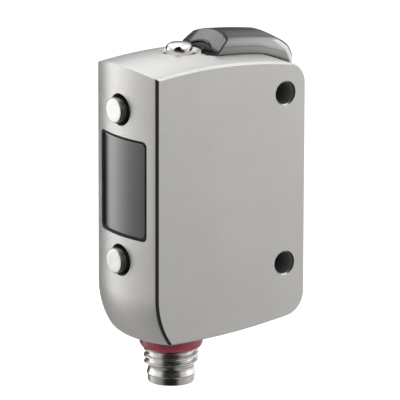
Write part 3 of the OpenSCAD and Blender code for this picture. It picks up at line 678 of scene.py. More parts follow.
@dataclass
class CaseForm:
    """The outside of the case as a loop in X and Z at any depth y.

    The sizes are the solids' own. A face's place is at the large faces, from which it swells.

    Attributes:
        half: Half the thickness.
        det_x: X of the detection face.
        disp_x: How far the display face is on the other side.
        bulge: How far the display face swells.
        top_z: Height of the top arch, and top_r and top_x its radius and the X of its middle.
        crown: How far the top swells, and low_crown the underside and the corners.
        fade_deg: Where the top's crown fades into the upper corner, and fade_soft how softly.
        bot_z: Height of the underside's arch, and bot_r and bot_x its radius and the X of its middle.
        corner_r: Radius of the corners beside the detection face.
        heel_r: Radius of the heel, and heel_z the height where it starts.
        edge: Width of the bevel beside the large faces, and soft its rounding.
        nose_r: Reach of the rounding where two faces meet in an edge.
    """

    half: float = 7.25
    det_x: float = 18.85
    disp_x: float = 7.85
    bulge: float = 1.37
    top_z: float = 47.85
    top_r: float = 80.0
    top_x: float = 1.3
    crown: float = 1.25
    low_crown: float = 0.35
    fade_deg: float = 68.0
    fade_soft: float = 0.04
    bot_z: float = 7.72
    bot_r: float = 120.0
    bot_x: float = 0.8
    corner_r: float = 3.3
    heel_r: float = 12.0
    heel_z: float = 15.1
    edge: float = 0.22
    soft: float = 0.03
    nose_r: float = 0.2

    def reach(self) -> float:
        """Distance from the top arch's centre to the plane that touches the upper corner at fade_deg."""
        top_a = math.acos((self.det_x - self.corner_r - self.top_x) / (self.top_r - self.corner_r))
        return self.corner_r + (self.top_r - self.corner_r) * math.cos(top_a - math.radians(self.fade_deg))

    def swell(self, y: np.ndarray, rise: float) -> np.ndarray:
        """How far a face stands out at depth y: a circular arc of height rise over the thickness, limited
        towards the large faces by a 45 degree bevel, with a soft minimum of the two as a small edge radius."""
        if rise > 0.0:
            radius = (self.half**2 + rise**2) / (2.0 * rise)
            arc = np.sqrt(radius**2 - y**2) - (radius - rise)
        else:
            arc = np.zeros_like(y)
        bevel = self.half - self.edge - np.abs(y)
        return -self.soft * np.logaddexp(-arc / self.soft, -bevel / self.soft)

    def loop(self, y: np.ndarray) -> np.ndarray:
        """The case's outline at each depth.

        The loop runs up the display face, along the top arch, round the upper corner, down the
        detection face, round the lower corner, along the underside and up the heel. Where two of
        these meet in an edge, a quadratic curve of nose_r rounds it. A plane that touches the upper
        corner at fade_deg takes the top's crown off beside it: from a centre that the plane is at
        distance d of, it is met at radius d / cos(angle - fade_deg), and a soft minimum joins the two.

        Args:
            y: Depths, shape (m,).

        Returns:
            Points, shape (m, n, 3).
        """
        y = y[:, None]
        wide, high, slight, flat = (self.swell(y, rise) for rise in (self.bulge, self.crown, self.low_crown, 0.0))
        left, front = -self.disp_x - wide, self.det_x + flat
        r_top, r_bot = self.top_r + high, self.bot_r + slight
        r_heel, r_round = self.heel_r + wide, self.corner_r + slight
        round_x, inner_top, inner_bot = (v - self.corner_r for v in (self.det_x, self.top_r, self.bot_r))
        top_a, bot_a = math.acos((round_x - self.top_x) / inner_top), math.acos((round_x - self.bot_x) / inner_bot)
        top, under = (self.top_x, self.top_z - self.top_r), (self.bot_x, self.bot_z + self.bot_r)
        upper = (round_x, top[1] + inner_top * math.sin(top_a))
        lower = (round_x, under[1] - inner_bot * math.sin(bot_a))
        heel = (self.heel_r - self.disp_x, self.heel_z)
        fade, nose = math.radians(self.fade_deg), self.nose_r

        def run(steps: int) -> np.ndarray:
            """Even steps from zero to one, without the end."""
            return np.linspace(0.0, 1.0, steps, endpoint=False)[None]

        def at(centre: tuple[float, float], radius: np.ndarray, angle: np.ndarray) -> list:
            """The points at these angles of circles about a centre."""
            return [centre[0] + radius * np.cos(angle), centre[1] + radius * np.sin(angle)]

        def arc(centre: tuple[float, float], radius: np.ndarray, a0: np.ndarray, a1: np.ndarray, steps: int,
                plane: float = 0.0) -> list:
            """Points on a circle from angle a0 to a1, limited by the plane at that distance if one is given."""
            angle = a0 + (a1 - a0) * run(steps)
            if plane:
                over = radius - plane / np.cos(angle - fade)
                radius = radius - self.fade_soft * np.logaddexp(0.0, over / self.fade_soft)
            return at(centre, radius, angle)

        def side(p: list, q: list) -> list:
            """Points on the straight line from p to q."""
            return [a + (b - a) * run(26) for a, b in zip(p, q)]

        def blend(p: list, q: list, r: list, steps: int) -> list:
            """A quadratic curve from p to r that q pulls."""
            t = run(steps)
            return [(1 - t) ** 2 * a + 2 * t * (1 - t) * b + t**2 * c for a, b, c in zip(p, q, r)]

        line = np.subtract(under, heel)
        gap = math.hypot(*line)
        along = (gap**2 + r_heel**2 - r_bot**2) / (2.0 * gap)
        off = np.sqrt(r_heel**2 - along**2)
        meet = [heel[0] + (along * line[0] - off * line[1]) / gap, heel[1] + (along * line[1] + off * line[0]) / gap]
        heel_a = np.pi + np.arctan2(heel[1] - meet[1], heel[0] - meet[0]) - nose / r_heel
        under_a = np.arctan2(meet[1] - under[1], meet[0] - under[0]) + nose / r_bot
        left_a = np.arccos((left - self.top_x) / r_top)
        tip, left_a = [left, top[1] + r_top * np.sin(left_a)], left_a - nose / r_top
        face_a = np.arccos(np.clip((front - round_x) / r_round, -1.0, 1.0))
        edge_z = r_round * np.sin(face_a)
        cut = np.minimum(nose * 0.5 / r_round, 0.3 * face_a)
        face_a, edge_in = face_a + cut, edge_z - cut * r_round
        parts = [
            side([left, self.heel_z], [left, tip[1] - nose]),
            blend([left, tip[1] - nose], tip, at(top, r_top, left_a), 6),
            arc(top, r_top, left_a, top_a, 60, self.reach()),
            arc(upper, r_round, top_a, face_a, 18, self.corner_r),
            blend(at(upper, r_round, face_a), [front, upper[1] + edge_z], [front, upper[1] + edge_in], 4),
            side([front, upper[1] + edge_in], [front, lower[1] - edge_in]),
            blend([front, lower[1] - edge_in], [front, lower[1] - edge_z], at(lower, r_round, -face_a), 4),
            arc(lower, r_round, -face_a, -bot_a, 12),
            arc(under, r_bot, -bot_a, under_a, 40),
            blend(at(under, r_bot, under_a), meet, at(heel, r_heel, heel_a), 6),
            arc(heel, r_heel, heel_a, np.pi, 18),
        ]
        x, z = (np.concatenate([part[axis] for part in parts], 1) for axis in (0, 1))
        return np.stack([x, np.broadcast_to(y, x.shape), z], -1)

    def face_x(self, y: np.ndarray) -> np.ndarray:
        """Where the display face is at depth y, away from the edges: its circular bulge."""
        radius = (self.half**2 + self.bulge**2) / (2.0 * self.bulge)
        return -self.disp_x - self.bulge + radius - np.sqrt(radius**2 - y**2)


@dataclass
class Assembly:
    """A sub-assembly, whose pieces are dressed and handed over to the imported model.

    Attributes:
        finishes: The finishes that its pieces wear.
        form: The outside of the case that they follow.
    """

    finishes: Finishes
    form: CaseForm

    def hand_over(self, piece: Object, slot: str, *stands_for: str, body: str = "case", finish: str = "") -> None:
        """Dresses a piece, fixes it to its body and hides the CAD nodes that it stands for.

        Args:
            piece: The piece.
            slot: The record's material slot, which is also the key of its finish.
            stands_for: CAD nodes that the piece replaces.
            body: The CAD body that it moves with.
            finish: Key of the finish, where it isn't the slot's.
        """
        piece.data.materials.append(self.finishes[finish or slot])
        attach(piece, body)
        if stands_for:
            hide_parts(*stands_for)
        log.info("%s on %s, %d faces", piece.name, body, len(piece.data.polygons))


@dataclass
class Case(Assembly):
    """The tub and the welded side cover, cut for what sits in them."""

    cover_t: float = 0.6
    wall: float = 1.2
    hole_x: float = 15.1
    hole_z: tuple[float, float] = (16.76, 42.16)
    hole_d: float = 3.2
    mouth: float = 0.24
    neck_z: float = 7.0
    neck_r: float = 4.6
    neck_bore: float = 4.23
    well_r: float = 2.35
    boss_r: float = 2.8
    weld_depth: float = 0.012
    weld_width: float = 0.04
    middle: tuple[float, float] = (5.5, 28.0)

    @property
    def seam(self) -> float:
        """Depth of the seam between the cover and the tub."""
        return self.cover_t - self.form.half

    def shell(self, name: str, low: float, high: float) -> Object:
        """A closed slice of the case's form between two depths.

        Args:
            name: The piece's name.
            low: Lower depth.
            high: Higher depth.

        Returns:
            The slice, with a small groove along the seam where the cover is welded.
        """
        seam, half = self.seam, self.form.half
        rows = np.concatenate([
            np.linspace(-half, -half + 0.45, 14), np.linspace(seam - 0.08, seam + 0.08, 9),
            np.linspace(-half + 0.8, half - 0.8, 34), np.linspace(half - 0.45, half, 14),
        ])
        rows = np.unique(np.round(rows[(rows >= low) & (rows <= high)], 5))
        rings = self.form.loop(rows)

        def drawn_in(loops: np.ndarray, amount: np.ndarray | float) -> np.ndarray:
            """Loops whose points are moved towards the middle of the case by an amount."""
            toward = np.array(self.middle) - loops[..., [0, 2]]
            loops = loops.copy()
            loops[..., [0, 2]] += toward / np.linalg.norm(toward, axis=-1, keepdims=True) * amount
            return loops

        groove = self.weld_depth * np.exp(-(((rows - seam) / self.weld_width) ** 2))
        rings = drawn_in(rings, groove[:, None, None])
        return skin(name, np.concatenate([drawn_in(rings[:1], 0.15), rings, drawn_in(rings[-1:], 0.15)]))

    def bore_tool(self, z: float) -> Object:
        """The space of a fixing hole with its two bevelled mouths, as a solid to cut away."""
        r, half, out = self.hole_d / 2.0, self.form.half, 0.5
        wide, deep = r + self.mouth + out, half + out
        profile = [(0, -deep), (wide, -deep), (r, self.mouth - half), (r, half - self.mouth), (wide, deep), (0, deep)]
        return turned("bore", profile, (z, self.hole_x), Axis.Y)

    def room(self) -> Object:
        """The space inside the tub, with the tubes of the two fixing holes left standing in it."""
        outline = np.array([[-6.65, 15.1], [-4.5, 9.1], [17.65, 9.4], [17.65, 44.7], [11.8, 45.9], [1.3, 46.4],
                            [-6.65, 46.0]])
        space = drawn("room", outline[::-1][:, ::-1], self.seam + 0.4, self.form.half - self.wall, Axis.Y)
        boss = [(0, -9), (self.boss_r, -9), (self.boss_r, 9), (0, 9)]
        for z in self.hole_z:
            carve(space, turned("boss", boss, (z, self.hole_x), Axis.Y, 48))
        return space

    def lamp_seat(self) -> Object:
        """The pocket under the lamp: its outline from above, down to the seat's arch and the skirt's step."""
        seat = drawn("seat", loop_filled(Lamp.seat_outline(0.03), 0.5), 45.7, 54.0, Axis.Z)
        x = np.linspace(0.0, Lamp.skirt_x, 34)
        arch = np.stack([Lamp.arch(x, Lamp.seat_r), x], -1)
        outline = np.concatenate([[[30.0, 0.0]], arch, [[30.0, Lamp.skirt_x]]])
        carve(seat, drawn("seat_floor", outline, -8.0, 8.0, Axis.Y))
        return seat

    def build(self) -> None:
        """Makes the tub and the cover."""
        z, r, bore, well = self.neck_z, self.neck_r, self.neck_bore, self.well_r
        tub = self.shell("case_tub", self.seam, self.form.half)
        neck = [(0, z), (r - 0.12, z), (r, z + 0.12), (r, 9.6), (0, 9.6)]
        carve(tub, turned("neck", neck, (0, 0), Axis.Z), Carving.JOIN)
        neck_bore = [(0, 5.0), (bore, 5.0), (bore, 10.6), (0, 10.6)]
        button_well = [(0, -12.0), (well + 0.2, -12.0), (well, -9.08), (well, -5.0), (0, -5.0)]
        set_well = [(0, 44.0), (2.01, 44.0), (2.01, 48.0), (2.45, 48.0), (2.45, 48.5), (3.55, 49.6), (3.55, 52.0),
                    (0, 52.0)]
        opening = rectangle(0, DisplayFace.view_z, DisplayFace.width, DisplayFace.height, 0.8)
        for tool in (
            self.room(), self.bore_tool(self.hole_z[0]), self.bore_tool(self.hole_z[1]),
            turned("neck_bore", neck_bore, (0, 0), Axis.Z),
            turned("up_well", button_well, (0, DisplayFace.up_z), Axis.X),
            turned("down_well", button_well, (0, DisplayFace.down_z), Axis.X),
            drawn("display_mouth", opening, -12.0, -5.5, Axis.X),
            drawn("eye_mouth", rectangle(0, 30.1, 9.6, 16.0, 1.0), 17.0, 21.0, Axis.X),
            turned("set_well", set_well, (Lamp.set_x, 0), Axis.Z), self.lamp_seat(),
        ):
            carve(tub, tool)
        self.hand_over(tub, "stainless_case", "housing")
        cover = self.shell("side_cover_plate", -self.form.half, self.seam - 0.004)
        for z in self.hole_z:
            carve(cover, self.bore_tool(z))
        self.hand_over(cover, "stainless_case", "side_cover")


@dataclass
class DisplayFace(Assembly):
    """The smoked number window and the two round buttons of the display face."""

    up_z: ClassVar[float] = 41.9
    down_z: ClassVar[float] = 19.7
    view_z: ClassVar[float] = 30.645
    width: ClassVar[float] = 10.9
    height: ClassVar[float] = 14.77
    corner: float = 0.78
    sink: float = 0.12
    lip: float = 0.38
    roll: float = 0.12

    def build(self) -> None:
        """Makes the window, its seal's visible part and both buttons."""
        self.window()
        self.button("up", self.up_z, "polished_stainless")
        self.button("down", self.down_z, "down_button")

    def rings(self, inset: np.ndarray, depth: np.ndarray) -> np.ndarray:
        """Rings of a rounded rectangle laid on the face's bulge.

        A point's X is the bulge at its y plus the sink and the ring's depth.

        Args:
            inset: How far each ring is drawn in from the opening.
            depth: How far each ring lies under the pane's face.

        Returns:
            Points, shape (rings, points, 3).
        """
        outline = loop_filled(rectangle(0.0, self.view_z, self.width, self.height, self.corner, 9), 0.4)
        middle = np.array([0.0, self.view_z])
        scale = 1.0 - inset[:, None, None] / (np.array([self.width, self.height]) / 2.0)
        y, z = np.moveaxis(middle + (outline[None] - middle) * scale, -1, 0)
        return np.stack([self.form.face_x(y) + self.sink + depth[:, None], y, z], -1)

    def window(self) -> None:
        """The curved pane, whose rim rolls over a quarter circle, and the gasket's lip round it."""
        turn = np.linspace(0.0, np.pi / 2.0, 6)
        inset = self.lip + np.concatenate([[0.0], self.roll * (1.0 - np.cos(turn)), np.linspace(0.4, 4.9, 18)])
        depth = np.concatenate([[1.6], self.roll * (1.0 - np.sin(turn)), np.zeros(18)])
        pane = skin("display_window_pane", self.rings(inset, depth), flip=True)
        self.hand_over(pane, "smoked_window", "display_window")
        turn, half = np.linspace(0.0, np.pi, 9), self.lip / 2.0 - 0.025
        inset = self.lip / 2.0 + np.concatenate([[-half], -half * np.cos(turn), [half]])
        depth = np.concatenate([[1.4], 0.14 - 0.14 * np.sin(turn), [1.4]])
        lip = skin("display_window_lip", self.rings(inset, depth), Ends.JOINED, flip=True)
        self.hand_over(lip, "black_rubber", "display_seal")

    def button(self, name: str, z: float, finish: str) -> None:
        """A button with a rounded rim and a slight dish, and the lip of its seal.

        Args:
            name: up or down.
            z: The button's height.
            finish: Key of its finish.
        """
        face, r = -10.32, 1.85
        path = [[0, face + 0.02], [1.0, face], [r, face], [r, -7.6], [2.75, -7.6], [2.75, -7.0], [1.0, -7.0],
                [1.0, -6.3], [0, -6.3]]
        profile = corners_rounded(path, [0, 0.5, 0.22, 0.05, 0.05, 0.05, 0.05, 0.05, 0], 8, closed=False)
        cap = turned(f"{name}_button_cap", profile[::-1], (0, z), Axis.X, 128)
        self.hand_over(cap, "polished_stainless", f"{name}_button", body=f"{name}_key", finish=finish)
        lip = corners_rounded([[1.93, -8.4], [2.15, -8.75], [2.34, -8.6], [2.34, -7.8], [1.93, -7.8]], 0.08, 5)
        lip = turned(f"{name}_button_lip", np.concatenate([lip, lip[:1]])[::-1], (0, z), Axis.X)
        self.hand_over(lip, "black_rubber", f"{name}_button_seal")


@dataclass
class Lamp(Assembly):
    """The smoked lamp cover on its gasket, and the polished button in its scallop."""

    lens_r: float = 80.75
    roof_r: float = 82.88
    seat_r: float = 80.45
    skirt_x: float = 16.5
    seat_hollow: float = 3.2
    rise: float = 0.85
    foot: float = 4.5
    roof: float = 3.9
    scallop: float = 4.6
    set_x: float = 1.4
    front: float = 5.0
    front_z: float = 48.665
    front_lean: float = 1.25
    end: float = 18.6
    end_z: float = 48.4
    end_leans: tuple[float, float] = (-1.28, -0.393)
    soft: float = 0.05

    @staticmethod
    def arch(x: np.ndarray, radius: float | np.ndarray) -> np.ndarray:
        """Height of a circle of that radius about the top arch's centre."""
        return CaseForm.top_z - CaseForm.top_r + np.sqrt(radius**2 - (x - CaseForm.top_x) ** 2)

    @staticmethod
    def seat_outline(grow: float) -> np.ndarray:
        """The seat's outline from above, with a scallop round the button."""
        angle = np.radians(np.linspace(-51.3, 51.3, 25))
        r = Lamp.seat_hollow
        hollow = np.stack([Lamp.set_x + r * np.cos(angle), r * np.sin(angle)], -1)
        corners = np.array([[3.4 - grow, -3.8], [5.0, -4.5 - grow], [17.7, -4.5 - grow], [18.6 + grow, -3.8],
                            [18.6 + grow, 3.8], [17.7, 4.5 + grow], [5.0, 4.5 + grow], [3.4 - grow, 3.8]])
        return np.concatenate([corners, hollow[::-1]])

    def foot_r(self, x: np.ndarray) -> np.ndarray:
        """Radius of the cover's foot about the top arch's centre. It follows the case down to the corner,
        0.13 over the plane that takes the case's crown off."""
        form = self.form
        at = np.arccos(np.clip((x - form.top_x) / form.top_r, -1.0, 1.0)) - math.radians(form.fade_deg)
        return np.minimum(self.lens_r, form.reach() / np.cos(at) + 0.13)

    def field_at(self, points: np.ndarray) -> np.ndarray:
        """The cover as a field, negative inside.

        It is the soft maximum of its bounds: the crowned roof over the top arch, the drafted sides,
        a front in two slopes, an end in three, the cut corners of the end, the scallop round the
        button, and the underside, which steps down to a skirt over the detection corner.

        Args:
            points: Points, shape (..., 3).

        Returns:
            The field at each point.
        """
        x, y, z = points[..., 0], np.abs(points[..., 1]), points[..., 2]
        high = np.hypot(x - self.form.top_x, z - self.form.top_z + self.form.top_r)
        bend = (self.roof**2 + self.rise**2) / (2.0 * self.rise)
        crown = np.sqrt(np.maximum(bend**2 - y**2, 0.01)) - (bend - self.rise)
        draft = (self.foot - self.roof) / (self.roof_r - self.lens_r - 0.3)
        width = self.foot - draft * np.maximum(high - self.lens_r - 0.3, 0.0)

        def slope(at_x: float, at_z: float, lean: float, side: float) -> np.ndarray:
            """Distance outside a plane through at_x, at_z that leans by so much X for each Z."""
            return side * (x - at_x - lean * (z - at_z)) / math.hypot(1.0, lean)

        bounds = [
            high - self.roof_r - crown,
            (y - width) / math.hypot(1.0, draft),
            slope(self.front, self.front_z, 0.4, -1.0),
            slope(self.front + 0.28, self.front_z + 0.7, self.front_lean, -1.0),
            *(slope(self.end - 0.6, self.end_z, lean, 1.0) for lean in self.end_leans),
            slope(self.end - 0.05, 47.0, -0.038, 1.0),
            ((x - self.end) * 0.7 + (y - 4.35) * 0.9) / math.hypot(0.7, 0.9),
            self.scallop - np.hypot(x - self.set_x, y),
            np.maximum(np.minimum(self.foot_r(x) - high, self.skirt_x - x), 45.1 - z),
        ]
        total = bounds[0]
        for bound in bounds[1:]:
            total = self.soft * np.logaddexp(total / self.soft, bound / self.soft)
        return total

    def cover(self) -> None:
        """Makes the smoked cover and the clear light guide under it."""
        lamp = ray_skin("lamp_cover", (14.5, 0.0, 49.6), (6.8, 4.5, 1.7), self.field_at)
        self.hand_over(lamp, "smoked_lamp_cover", "indicator_lens")
        guide = drawn("lamp_light_guide", rectangle(9.5, 0.0, 5.2, 4.0, 0.3), 44.5, 48.2, Axis.Z, 0.15)
        self.hand_over(guide, "smoked_lamp_cover", finish="light_guide")

    def gasket(self) -> None:
        """Makes the gasket on the seat's floor, and its lip that stands up round the scallop."""
        outline = loop_filled(self.seat_outline(0.0), 0.4)
        inner = outline.mean(0) + (outline - outline.mean(0)) * 0.8
        foot = self.foot_r(outline[:, 0]) - 0.02
        low, high = self.arch(outline[:, 0], np.minimum(self.seat_r, foot - 0.4)), self.arch(outline[:, 0], foot)
        bands = [np.column_stack([outline, low]), np.column_stack([outline, high]),
                 np.column_stack([inner, self.arch(inner[:, 0], self.foot_r(inner[:, 0]) - 0.02)])]
        self.hand_over(skin("lamp_gasket", np.stack(bands)), "black_rubber", "indicator_seal")
        angle = np.radians(np.linspace(-50.0, 50.0, 41))[:, None]
        r, z = corners_rounded([[3.22, 48.3], [3.6, 48.3], [3.6, 49.4], [3.22, 49.4]], [0.02, 0.02, 0.12, 0.12], 6).T
        rings = Axis.Z.points(self.set_x + r * np.cos(angle), r * np.sin(angle), z)
        self.hand_over(skin("lamp_gasket_lip", rings, flip=True), "black_rubber")

    def set_button(self) -> None:
        """Makes the polished button: a gently domed face, a rounded rim, the flange and the stem."""
        top, r = 50.28, 1.95
        path = [[0, top], [0.5, top - 0.01], [r, top - 0.2], [r, 46.4], [2.9, 46.4], [2.9, 45.8], [1.0, 45.8],
                [1.0, 45.3], [0, 45.3]]
        profile = corners_rounded(path, [0, 2.0, 1.0, 0.05, 0.05, 0.05, 0.05, 0.05, 0], 18, closed=False)
        cap = turned("set_button_cap", profile[::-1], (self.set_x, 0), Axis.Z, 128)
        self.hand_over(cap, "polished_stainless", "set_button", body="set_key", finish="set_button")

    def build(self) -> None:
        """Makes the lamp cover, its light guide, the gasket and the top button."""
        self.cover()
        self.gasket()
        self.set_button()


@dataclass
class Connector(Assembly):
    """The turned connector body with its thread, the red ring, the insert and its pins."""

    pitch: float = 1.0
    depth: float = 0.5
    major_r: float = 4.0
    low: float = 2.7
    high: float = 5.2

    def thread_radius(self, z: np.ndarray, angle: np.ndarray) -> np.ndarray:
        """The thread's radius at a height and an angle.

        It is the major radius less the depth times a triangle wave of (z - pitch * angle / turn), with
        flattened crests and rounded roots, and it fades into the grooves above and below.
        """
        phase = (z / self.pitch - angle / (2.0 * np.pi)) % 1.0
        wave = np.clip((np.abs(2.0 * phase - 1.0) - 0.12) / 0.76, 0.0, 1.0)
        fade = np.clip((z - self.low) / 0.3, 0.0, 1.0) * np.clip((self.high - z) / 0.2, 0.0, 1.0)
        return self.major_r - self.depth * np.maximum(wave, 1.0 - fade) * 0.98

    def shell(self) -> Object:
        """The connector body: a closed profile turned round Z, whose thread rows follow a helix."""
        steps = 144
        angle = np.linspace(0.0, 2.0 * np.pi, steps, endpoint=False)
        before = corners_rounded([[2.95, 9.4], [2.95, 0.1], [3.15, 0.0], [3.26, 0.0], [3.38, 0.14], [3.45, 1.15],
                                  [3.56, 1.32], [3.34, 2.0], [3.34, 2.35], [3.5, 2.7]],
                                 [0, 0.08, 0.05, 0.08, 0.08, 0.1, 0.15, 0.1, 0.15, 0], 5, closed=False)
        rows = np.linspace(self.low, self.high, 78)
        after = np.array([[3.4, 5.24], [3.4, 5.38], [4.14, 5.4], [4.2, 5.46], [4.2, 9.35], [4.15, 9.4]])
        radius = np.concatenate([np.repeat(before[:, :1], steps, 1), self.thread_radius(rows[:, None], angle),
                                 np.repeat(after[:, :1], steps, 1)])
        z = np.concatenate([before[:, 1], rows, after[:, 1]])[:, None]
        rings = Axis.Z.points(radius * np.cos(angle), radius * np.sin(angle), z)
        return skin("connector_body", rings, Ends.JOINED, sharp_deg=50.0)

    def build(self) -> None:
        """Makes the connector's pieces."""
        self.hand_over(self.shell(), "turned_stainless", "connector_shell")
        ring = corners_rounded([[4.21, 5.4], [4.36, 5.4], [4.6, 5.85], [4.65, 6.98], [4.21, 6.98]],
                               [0.03, 0.1, 0.5, 0.15, 0.05], 8)
        ring = turned("plug_sealing_ring", np.concatenate([ring, ring[:1]]), (0, 0), Axis.Z, 128)
        self.hand_over(ring, "red_rubber", "connector_seal")
        face = corners_rounded([[0, 4.2], [2.3, 4.2], [2.6, 4.0], [2.92, 4.2], [2.92, 10.2], [0, 10.2]],
                               [0, 0.1, 0.15, 0.05, 0.05, 0], 5, closed=False)
        self.hand_over(turned("contact_insert", face, (0, 0), Axis.Z), "black_plastic", "connector_insert")
        tip = corners_rounded([[0, 1.0], [0.3, 1.0], [0.5, 1.45], [0.5, 12.2], [0, 12.2]], [0, 0.12, 0.3, 0.05, 0],
                              6, closed=False)
        for number, place in enumerate(((1.25, 1.0), (-1.25, 1.0), (-0.95, -1.15), (0.95, -1.15)), 1):
            pin = turned(f"pin_{number}", tip, place, Axis.Z, 32)
            self.hand_over(pin, "gilt_brass", f"contact_pin_{number}")


@dataclass
class Inside:
    """The CAD nodes that keep their own shape, each with the finish of its slot."""

    finishes: Finishes

    def dress(self, nodes: dict[str, Object], subparts: list[dict]) -> None:
        """Gives every CAD node the finish that its slot in the record names.

        Args:
            nodes: The CAD nodes' objects by name.
            subparts: The record's list of nodes and slots.
        """
        for part in subparts:
            node, finish = nodes[part["node"]], self.finishes[part["material_slot"]]
            node.data.materials.clear()
            node.data.materials.append(finish)
            log.info("%s wears %s", node.name, finish.name)


# The buttons' turned side wears a painted dark reflection
BUTTON = TurnedFinish("stainless_steel_turned_up_button", "C0BFBD", "C8C7C5", patch=2.0, metallic=1.0, rough=0.2,
                      rough_var=0.03, grain=0.4, relief=0.001, centre=(0.0, 0.0, DisplayFace.up_z),
                      across=(0.0, 1.0, 1.0), side="8A8987")

FINISHES: dict[str, Finish] = {
    # Bead-blasted stainless: an even satin grey with a very fine grain and no lines, with painted shade in the fixing
    # holes and a painted dark reflection on the bevel beside the display face
    "stainless_case": BlastedFinish(
        "stainless_steel_bead_blasted", "C7C6C4", "CCCBC9", patch=9.0, metallic=0.87, rough=0.3, rough_var=0.02,
        grain=0.16, relief=0.0025, bores=tuple((Case.hole_x, 0.0, z) for z in Case.hole_z), radius=Case.hole_d / 2.0),
    # Tumbled and polished stainless: bright with sharp dark reflections, a painted dark reflection on the turned side,
    # and faint turning rings
    "polished_stainless": BUTTON,
    "down_button": replace(BUTTON, name="stainless_steel_turned_down_button", centre=(0.0, 0.0, DisplayFace.down_z)),
    "set_button": TurnedFinish("stainless_steel_turned_set_button", "D2D0CC", "DCDAD6", patch=2.0, metallic=1.0,
                               rough=0.1, rough_var=0.02, grain=0.5, relief=0.0006, centre=(Lamp.set_x, 0.0, 0.0)),
    # Turned stainless: brighter than the case, with dark and light bands along its height
    "turned_stainless": TurnedFinish("stainless_steel_turned_connector", "E0DEDB", "E8E6E3", patch=2.0, metallic=1.0,
                                     rough=0.24, rough_var=0.03, grain=0.4, relief=0.0008),
    # Bright zinc: bluish grey with pale yellow patches
    "screw_steel": Finish("steel_zinc_plated", "A9ABAD", "B6B4AE", metallic=1.0, rough=0.3, grain=0.2, relief=0.002),
    # Gold flash on brass: warm, bright and even
    "gilt_brass": Finish("brass_gold_flashed", "D9B45A", "E2C071", metallic=1.0, rough=0.18, grain=0.2,
                         relief=0.001),
    # Moulded nitrile rubber: dull black with a soft bloom
    "black_rubber": Finish("nitrile_rubber_moulded", "101010", "181817", ior=1.38, rough=0.62, grain=0.12,
                           relief=0.006),
    # Fluoroelastomer: wine red, slightly glossy, with flow marks
    "red_rubber": Finish("fluoroelastomer_moulded_red", "74192F", "8A2038", patch=3.0, rough=0.36, grain=0.25,
                         relief=0.004, coat=0.45, coat_rough=0.22),
    # Glass-filled polyamide: black and satin, with the mould's fine texture
    "black_plastic": Finish("polyamide_moulded_black", "16171A", "1D1E21", rough=0.45, grain=0.1, relief=0.005),
    # Acetal: waxy off-white
    "white_plastic": Finish("acetal_moulded_white", "DDDAD0", "E6E3DA", rough=0.38, grain=0.15, relief=0.003),
    # Polysulfone, smoked: a grey gloss that lets some light through, with painted reflections, shade, dark edges and
    # highlights
    "smoked_lamp_cover": SmokedFinish(
        "polysulfone_moulded_smoked_grey", "8D8E8D", "959695", patch=5.0, rough=0.09, rough_var=0.02, grain=1.2,
        relief=0.002, ior=1.63, through=0.15, axis=(CaseForm.top_x, 0.0, CaseForm.top_z - CaseForm.top_r),
        foot=Lamp.lens_r, half=Lamp.roof, slope=(Lamp.front + 0.28, 0.0, Lamp.front_z + 0.695),
        slope_lean=Lamp.front_lean, end=(Lamp.end - 0.6, 0.0, Lamp.end_z), end_leans=Lamp.end_leans),
    # Clear acrylic: a bright block that passes the lamps' light on
    "light_guide": Finish("acrylic_moulded_clear", "E9ECEC", "F1F3F3", rough=0.08, grain=0.8, relief=0.001, ior=1.49,
                          through=0.95),
    # Polycarbonate, smoked: nearly black with a hard gloss
    "smoked_window": Finish("polycarbonate_moulded_smoked", "0F0F11", "151517", patch=6.0, rough=0.13, rough_var=0.02,
                            grain=1.5, relief=0.002, ior=1.58, coat=1.0, coat_rough=0.06),
    # Deep red acrylic: nearly black until light falls through it
    "dark_window_glass": Finish("acrylic_moulded_deep_red", "240509", "2D070C", patch=6.0, rough=0.12, grain=1.5,
                                relief=0.001, ior=1.49, coat=1.0, coat_rough=0.05),
    # Glass over a number display that is off: black with a green cast
    "display_glass": Finish("glass_over_number_display", "0C1210", "141B18", rough=0.1, grain=0.5, relief=0.001,
                            coat=0.6),
    # Coated optical glass: clear with a faint blue cast
    "lens_glass": Finish("optical_glass_coated", "DCE6EC", "E6EEF2", rough=0.03, rough_var=0.01, grain=2.0,
                         relief=0.0002, ior=1.52, through=1.0),
    # Solder mask on epoxy glass: a soft green gloss with gilt pads
    "circuit_board": BoardFinish("epoxy_glass_board_green_mask", "1F5A36", "246640", rough=0.35, grain=0.4,
                                 relief=0.006, coat=0.3),
}


